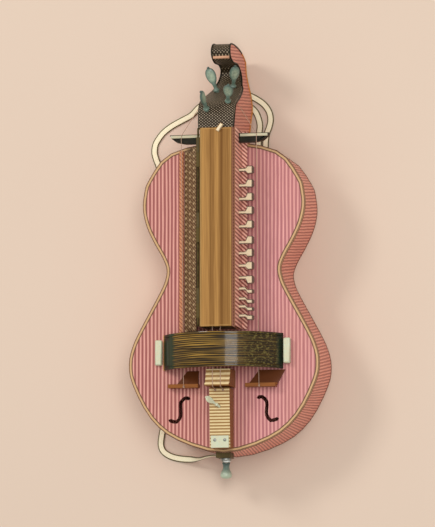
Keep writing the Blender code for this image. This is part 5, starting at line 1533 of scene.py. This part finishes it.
def peg_head(size):
    """A peg's broad head with both its sides hollowed, which are paler where they are deepest, partly as
    rubbing and partly as a painted highlight.
    """
    head = bmesh.new()
    around, along = PEG_HEAD_RINGS
    bmesh.ops.create_uvsphere(head, u_segments=around, v_segments=along, radius=1.0)
    layer = head.verts.layers.float.new(WORN)
    for vertex in head.verts:
        x, y, z = vertex.co
        across = min(1.0, math.hypot(x, z))
        # Paler towards the middle of each side and darker towards the rim: partly rubbing, partly painted
        # highlight and painted shade.
        vertex[layer] = 1 - across**3
        thin = 1 - PEG_DISH_SHARE * (1 - across**2) ** 2
        narrow = 1 - PEG_NARROW_SHARE * (1 - z)
        vertex.co = (
            x * PEG_HEAD[0] / 2 * size * narrow,
            y * PEG_HEAD[1] / 2 * size * thin,
            (z * PEG_HEAD[2] / 2 + PEG_HEAD_SEAT) * size,
        )
    mesh = bpy.data.meshes.new("peg_head")
    head.to_mesh(mesh)
    head.free()
    return mesh


def peg(node, look):
    """A turned peg with a broad hollowed head, at its own joint."""
    joint = JOINTS[f"{node}_turn"]
    size = TAIL_PEG_SHARE if node == "tail_peg" else 1.0
    edit = bmesh.new()
    lathe(edit, [(r * size, d * size) for r, d in PEG_SHAFT_PROFILE], (0, 0, 0), UP, PEG_SIDES)
    layer = edit.verts.layers.float.new(WORN)
    for vertex in edit.verts:
        vertex[layer] = NECK_WEAR
    head = peg_head(size)
    edit.from_mesh(head)
    bpy.data.meshes.remove(head)
    top = (PEG_HEAD_SEAT + PEG_HEAD[2] / 2 - PEG_BUTTON_EMBED) * size
    lathe(edit, [(r * size, d * size) for r, d in PEG_BUTTON_PROFILE], (0, 0, top), UP, PEG_BUTTON_SIDES)
    turn = Vector(joint["axis"]).to_track_quat("Z", "Y").to_matrix().to_4x4()
    edit.transform(Matrix.Translation(joint["pos_m"]) @ turn @ Matrix.Rotation(PEG_TURNS[node], 4, "Z"))
    piece = new_piece(f"{node}_turned", edit, look, BODY_OF[node], TURNED)
    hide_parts(node)


def chains(edges):
    """Edges that meet end to end, as ordered lines of points."""
    at = {}
    for edge in edges:
        for vertex in edge.verts:
            at.setdefault(vertex, []).append(edge)
    left = set(edges)
    found = []
    starts = [v for v in at if len(at[v]) == 1] + list(at)
    for start in starts:
        vertex = start
        line = [vertex.co.copy()]
        while True:
            following = [e for e in at[vertex] if e in left]
            if not following:
                break
            edge = following[0]
            left.discard(edge)
            vertex = edge.other_vert(vertex)
            line.append(vertex.co.copy())
        if len(line) > 2:
            found.append(line)
    return found


def side_edges(edit):
    """The edges round the pegbox's two sides, at its back and at its front and over its scroll."""
    found = {"back": [], "front": []}
    for edge in edit.edges:
        if len(edge.link_faces) != 2:
            continue
        first, second = sorted((face.normal for face in edge.link_faces), key=lambda n: abs(n.x))
        if abs(first.x) < FRONT_LOOK and abs(second.x) > SIDE_LOOK:
            found["back" if first.z < BACK_LOOK else "front"].append(edge)
    return found


class HURDY_OT_head(bpy.types.Operator):
    """Dress the pegbox and build its edging, its scroll band and the pegs"""

    bl_idname = "hurdy.head"
    bl_label = "Pegbox and pegs"

    def execute(self, context):
        sizes = context.scene.hurdy_head
        edge = context.scene.hurdy_keybox.edge_round
        dressed("pegbox", pegbox_wood(context.scene.hurdy_body, sizes), edge)
        dressed("pegbox_face", punched_plate(sizes), edge / 2)
        orange = turned_pear("pear_bent_edging", sizes.edging, "#8A5220")
        woods = {"back": orange, "front": shared("pear_ebonised_waxed")}
        source = node_mesh("pegbox")
        for place, edges in side_edges(source).items():
            edit = bmesh.new()
            for line in chains(edges):
                if lengths_of(line)[-1] > EDGING_LEAST:
                    sweep(edit, line, round_section(EDGING_RADIUS, EDGING_SIDES), RIGHT)
            new_piece(f"pegbox_edging_{place}", edit, woods[place], "body", CARVED)
        source.free()
        low, high = corners("pegbox")
        y = KEYBOX_END + HOOK_SHARES[0] * (high.y - KEYBOX_END)
        z = low.z + HOOK_SHARES[1] * (WALL_TOP - low.z)
        path = [Vector((x, y, z)) for x in (-HOOK_BAND_HALF, HOOK_BAND_HALF)]
        thick = 2 * HOOK_BAND_RADIUS
        section = rounded_bar(thick, thick, HOOK_BAND_RADIUS * HOOK_ROUND_SHARE, steps=3)
        tan = turned_pear("pear_scraped", "#D2A07E", "#9A6A4C", ALONG_X)
        new_piece("scroll_band", sweep(bmesh.new(), path, section, UP), tan, "body")
        stained_box = rubbed_and_highlighted_stain(sizes)
        for node in PEG_TURNS:
            peg(node, shared("bone_bleached") if node == "tail_peg" else stained_box)
        return {"FINISHED"}


HANDLE_SIDES = 40
HANDLE_BORE = 2.5 * MM
HANDLE_CAP = 3.4 * MM  # solid wood past the end of the handle's pin
# The handle's outline from its neck to its end, as shares of its length and of its greatest radius
HANDLE_SHARES = (
    (0.0, 0.5),
    (0.0, 0.62),
    (0.04, 0.68),
    (0.1, 0.68),
    (0.14, 0.58),
    (0.3, 0.54),
    (0.42, 0.6),
    (0.55, 0.78),
    (0.68, 0.95),
    (0.78, 1.0),
    (0.86, 0.96),
    (0.93, 0.82),
    (0.98, 0.55),
    (1.0, 0.28),
    (1.0, 0.0),
)
NUT_SIZE = 5.5 * MM
NUT_HEIGHT = 2.6 * MM
NUT_GAP = 0.05 * MM  # between the nut and the axle's end
NUT_TURN = math.radians(20)
NUT_ROUND = 0.25 * MM
NUT_CAP = (2.6 * MM, 1.3 * MM)  # radius and height


class HURDY_OT_crank(bpy.types.Operator):
    """Dress the wheel, axle, bearings and crank, and build the turned handle"""

    bl_idname = "hurdy.crank"
    bl_label = "Wheel and crank"

    def execute(self, context):
        edge = context.scene.hurdy_keybox.edge_round
        wear(planed_maple("maple_turned_rosined", "#DCC08C", "#A97F48"), "wheel")
        iron = shared("iron_forged")
        wear(iron, "wheel_axle")
        wear(worn_metal("brass_filed", "#C79A48", "#8A6428", 0.34), "inner_bearing")
        dressed("tail_bearing", shared("beech_stained_dark"), edge)
        dressed("crank_arm", iron, edge)
        low, high = corners("crank_handle")
        middle = (low + high) / 2
        length = high.y - low.y
        radius = (high.x - low.x) / 2
        profile = [(0.0, length - HANDLE_CAP), (HANDLE_BORE, length - HANDLE_CAP), (HANDLE_BORE, 0.0)]
        profile += [(wide * radius, far * length) for far, wide in HANDLE_SHARES]
        turned = lathe(bmesh.new(), profile, (middle.x, high.y, middle.z), -TO_PEGBOX, HANDLE_SIDES)
        wood = handle_wood(high.y, low.y)
        handle = new_piece("turned_handle", turned, wood, BODY_OF["crank_handle"], TURNED)
        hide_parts("crank_handle")
        low, high = corners("wheel_axle")
        axis = Vector(((low.x + high.x) / 2, low.y, (low.z + high.z) / 2))
        start = axis - Vector((NUT_SIZE, NUT_HEIGHT + NUT_GAP, NUT_SIZE))
        end = axis + Vector((NUT_SIZE, -NUT_GAP, NUT_SIZE))
        nut = block(bmesh.new(), start, end, Matrix.Rotation(NUT_TURN, 4, "Y"))
        dome(nut, axis - TO_PEGBOX * NUT_HEIGHT, *NUT_CAP, -TO_PEGBOX)
        soften(new_piece("crank_nut", nut, iron, BODY_OF["wheel"]), NUT_ROUND)
        return {"FINISHED"}


STRAP_LIFT = 1.3 * MM  # a strap's middle above the table
STRAP_HUNG = 1.5 * STRAP_LIFT  # and where it is higher than this, it doesn't lie there
STRAP_CLEAR = 0.6 * MM  # how near to the body a strap on the table ends
STRAP_TWIST = 40 * MM  # how high a strap is by the time that it lies against the body's side
STRAP_STEPS = 8
# A strap's section, as shares of half its width and of half its thickness
STRAP_SHARES = (
    (1.0, 0.0),
    (0.94, 0.8),
    (0.6, 1.0),
    (0.0, 1.0),
    (-0.6, 1.0),
    (-0.94, 0.8),
    (-1.0, 0.0),
    (-0.94, -0.8),
    (0.0, -1.0),
    (0.94, -0.8),
)
# The straps' routes in metres: to the right, towards the pegbox and, where a strap hangs, up
NECK_ROUTE = (
    (-0.1105, 0.1090),
    (-0.1165, 0.1230),
    (-0.1210, 0.1400),
    (-0.1232, 0.1570),
    (-0.1275, 0.1690),
    (-0.1298, 0.1790),
    (-0.1283, 0.1910),
    (-0.1226, 0.2010),
    (-0.1149, 0.2100),
    (-0.1026, 0.2190),
    (-0.0872, 0.2270),
    (-0.0718, 0.2350),
    (-0.0595, 0.2470),
    (-0.0400, 0.2590),
    (-0.0150, 0.2665),
    (0.0060, 0.2660),
    (0.0220, 0.2610),
    (0.0400, 0.2495),
    (0.0492, 0.2375),
    (0.0522, 0.2250),
    (0.0503, 0.2135),
    (0.0467, 0.2035),
    (0.0446, 0.1910),
    (0.0440, 0.1750),
    (0.0435, 0.1580),
)
INNER_ROUTE = (
    (0.0050, 0.2550),
    (0.0110, 0.2500),
    (0.0200, 0.2450),
    (0.0285, 0.2370),
    (0.0335, 0.2260),
    (0.0355, 0.2150),
    (0.0345, 0.2040),
    (0.0335, 0.1890),
    (0.0325, 0.1610),
)
LOWER_ROUTE = (
    (-0.0139, -0.2935, 0.0780),
    (-0.0175, -0.2935, 0.0777),
    (-0.0235, -0.2936, 0.0735),
    (-0.0310, -0.2937, 0.0640),
    (-0.0400, -0.2940, 0.0490),
    (-0.0510, -0.2943, 0.0320),
    (-0.0640, -0.2944, 0.0170),
    (-0.0780, -0.2938, 0.0070),
    (-0.0920, -0.2920, 0.0022),
    (-0.1050, -0.2880, 0.0013),
    (-0.1150, -0.2810, 0.0013),
    (-0.1190, -0.2710, 0.0013),
    (-0.1180, -0.2580, 0.0013),
    (-0.1150, -0.2440, 0.0013),
    (-0.1100, -0.2310, 0.0013),
)


def inside(loop, spot):
    """Whether a flat point is inside a closed outline."""
    found = False
    for a, b in zip(loop, loop[1:] + loop[:1]):
        if (a.y > spot.y) != (b.y > spot.y):
            if spot.x < a.x + (spot.y - a.y) / (b.y - a.y) * (b.x - a.x):
                found = not found
    return found


def strap(name, node, route, look, sizes):
    """A woven band along its route, from edge to edge of the body's outline."""
    line = smooth_path([Vector(p) if len(p) == 3 else Vector((*p, STRAP_LIFT)) for p in route], STRAP_STEPS)
    grown = moved_out(body_outline(), STRAP_CLEAR)
    line = [p for p in line if p.z > STRAP_HUNG or not inside(grown, Vector((p.x, p.y)))]
    ups = []
    for point in line:
        turn = min(1.0, max(0.0, (point.z - STRAP_LIFT) / STRAP_TWIST))
        ups.append(Vector((0.0, -turn, 1.0 - turn)))
    section = [(a * sizes.width / 2, b * sizes.thickness / 2) for a, b in STRAP_SHARES]
    piece = new_piece(name, sweep(bmesh.new(), line, section, ups), look, "body", WOVEN)
    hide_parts(node)
    return piece


class HURDY_OT_straps(bpy.types.Operator):
    """Weave the three straps that lie round the instrument"""

    bl_idname = "hurdy.straps"
    bl_label = "Straps"

    def execute(self, context):
        sizes = context.scene.hurdy_straps
        look = woven_band(sizes)
        strap("neck_strap", "strap_neck", NECK_ROUTE, look, sizes)
        strap("inner_strap", "strap_inner", INNER_ROUTE, look, sizes)
        strap("lower_strap", "strap_lower", LOWER_ROUTE, look, sizes)
        return {"FINISHED"}


VIEW_WAY = Vector((0.22, -0.12, 1.0)).normalized()  # from the instrument to the camera
VIEW_MIDDLE = Vector((-0.0092, -0.0069, 0.100))  # the point in the middle of the picture, in metres
SENSOR = 36.0  # the camera's sensor height, in its own millimetres
KEY_PLACE = Vector((-2.0, 1.6, 2.8))  # where the main lamp hangs, in metres
KEY_SIZE = (0.9, 0.9)  # its width and height, in metres
SHEEN_WAY = Vector((0.2476, 0.1164, 0.963)).normalized()  # from the cover to the sheen lamp
SHEEN_DISTANCE = 2.2  # in metres
SHEEN_SIZE = (1.35, 0.8)
SHEEN_X = 24 * MM  # where the bright band lies on the cover
FLOOR_THICKNESS = 20 * MM
FLOOR_DROP = 0.2 * MM  # how far the floor is under the instrument


def turned_to(away, side):
    """The turn of something that looks against away, with its width along side."""
    return Matrix((side, away.cross(side), away)).transposed().to_4x4()


def lamp(name, place, target, size, power):
    """A rectangular lamp that faces a point."""
    light = bpy.data.lights.new(name, "AREA")
    light.shape = "RECTANGLE"
    light.size, light.size_y = size
    light.energy = power
    obj = bpy.data.objects.new(name, light)
    away = (place - target).normalized()
    side = (TO_PEGBOX - away * away.y).normalized()
    obj.matrix_world = Matrix.Translation(place) @ turned_to(away, side)
    bpy.context.scene.collection.objects.link(obj)


class HURDY_OT_stage(bpy.types.Operator):
    """Set the pale floor, the soft lamps and the camera"""

    bl_idname = "hurdy.stage"
    bl_label = "Stage"

    def execute(self, context):
        sizes = context.scene.hurdy_stage
        half = sizes.floor_size / 2
        edit = block(bmesh.new(), (-half, -half, -FLOOR_THICKNESS), (half, half, -FLOOR_DROP))
        mesh = bpy.data.meshes.new("floor")
        edit.to_mesh(mesh)
        edit.free()
        mesh.materials.append(painted_floor(sizes))
        floor = bpy.data.objects.new("floor", mesh)
        context.scene.collection.objects.link(floor)
        lamp("main_lamp", KEY_PLACE, VIEW_MIDDLE, KEY_SIZE, sizes.key_power)
        low, high = corners("wheel_cover")
        target = Vector((SHEEN_X, low.y, high.z))
        lamp("sheen_lamp", target + SHEEN_WAY * SHEEN_DISTANCE, target, SHEEN_SIZE, sizes.sheen_power)
        world = bpy.data.worlds.new("studio")
        world.use_nodes = True
        background = world.node_tree.nodes["Background"]
        background.inputs["Color"].default_value = (1.0, 1.0, 1.0, 1.0)
        background.inputs["Strength"].default_value = sizes.sky
        context.scene.world = world
        camera = bpy.data.cameras.new("camera")
        camera.sensor_fit = "VERTICAL"
        camera.sensor_height = SENSOR
        camera.lens = SENSOR * sizes.view_distance / sizes.view_height
        holder = bpy.data.objects.new("camera", camera)
        turn = turned_to(VIEW_WAY, TO_PEGBOX.cross(VIEW_WAY).normalized())
        holder.matrix_world = Matrix.Translation(VIEW_MIDDLE + VIEW_WAY * sizes.view_distance) @ turn
        context.scene.collection.objects.link(holder)
        context.scene.camera = holder
        context.scene.view_settings.view_transform = "Standard"
        return {"FINISHED"}


OPERATORS = (
    HURDY_OT_soundbox,
    HURDY_OT_keybox,
    HURDY_OT_keys,
    HURDY_OT_cover,
    HURDY_OT_strings,
    HURDY_OT_head,
    HURDY_OT_crank,
    HURDY_OT_straps,
    HURDY_OT_stage,
)
GROUPS = {
    "hurdy_body": HURDY_PG_body,
    "hurdy_keybox": HURDY_PG_keybox,
    "hurdy_cover": HURDY_PG_cover,
    "hurdy_fittings": HURDY_PG_fittings,
    "hurdy_head": HURDY_PG_head,
    "hurdy_straps": HURDY_PG_straps,
    "hurdy_stage": HURDY_PG_stage,
}


class HURDY_PT_looks(bpy.types.Panel):
    """Lists the pieces of the hurdy-gurdy, with the sizes and colours of each group"""

    bl_idname = "HURDY_PT_looks"
    bl_label = "Hurdy-gurdy"
    bl_space_type = "VIEW_3D"
    bl_region_type = "UI"
    bl_category = "Hurdy-gurdy"

    def draw(self, context):
        for operator in OPERATORS:
            self.layout.operator(operator.bl_idname)
        for name in GROUPS:
            group = getattr(context.scene, name)
            box = self.layout.box()
            box.label(text=group.bl_rna.description)
            for key in group.__annotations__:
                box.prop(group, key)


def register():
    """Adds the settings, the operators and the panel."""
    for group in GROUPS.values():
        bpy.utils.register_class(group)
    for name, group in GROUPS.items():
        setattr(bpy.types.Scene, name, PointerProperty(type=group))
    for operator in OPERATORS:
        bpy.utils.register_class(operator)
    bpy.utils.register_class(HURDY_PT_looks)


def unregister():
    """Takes away what register added."""
    bpy.utils.unregister_class(HURDY_PT_looks)
    for operator in reversed(OPERATORS):
        bpy.utils.unregister_class(operator)
    for name, group in GROUPS.items():
        delattr(bpy.types.Scene, name)
        bpy.utils.unregister_class(group)


def main():
    """Builds every group of pieces in order."""
    register()
    bpy.ops.hurdy.stage()
    bpy.ops.hurdy.soundbox()
    bpy.ops.hurdy.keybox()
    bpy.ops.hurdy.keys()
    bpy.ops.hurdy.cover()
    bpy.ops.hurdy.strings()
    bpy.ops.hurdy.head()
    bpy.ops.hurdy.crank()
    bpy.ops.hurdy.straps()


if __name__ == "__main__":
    main()
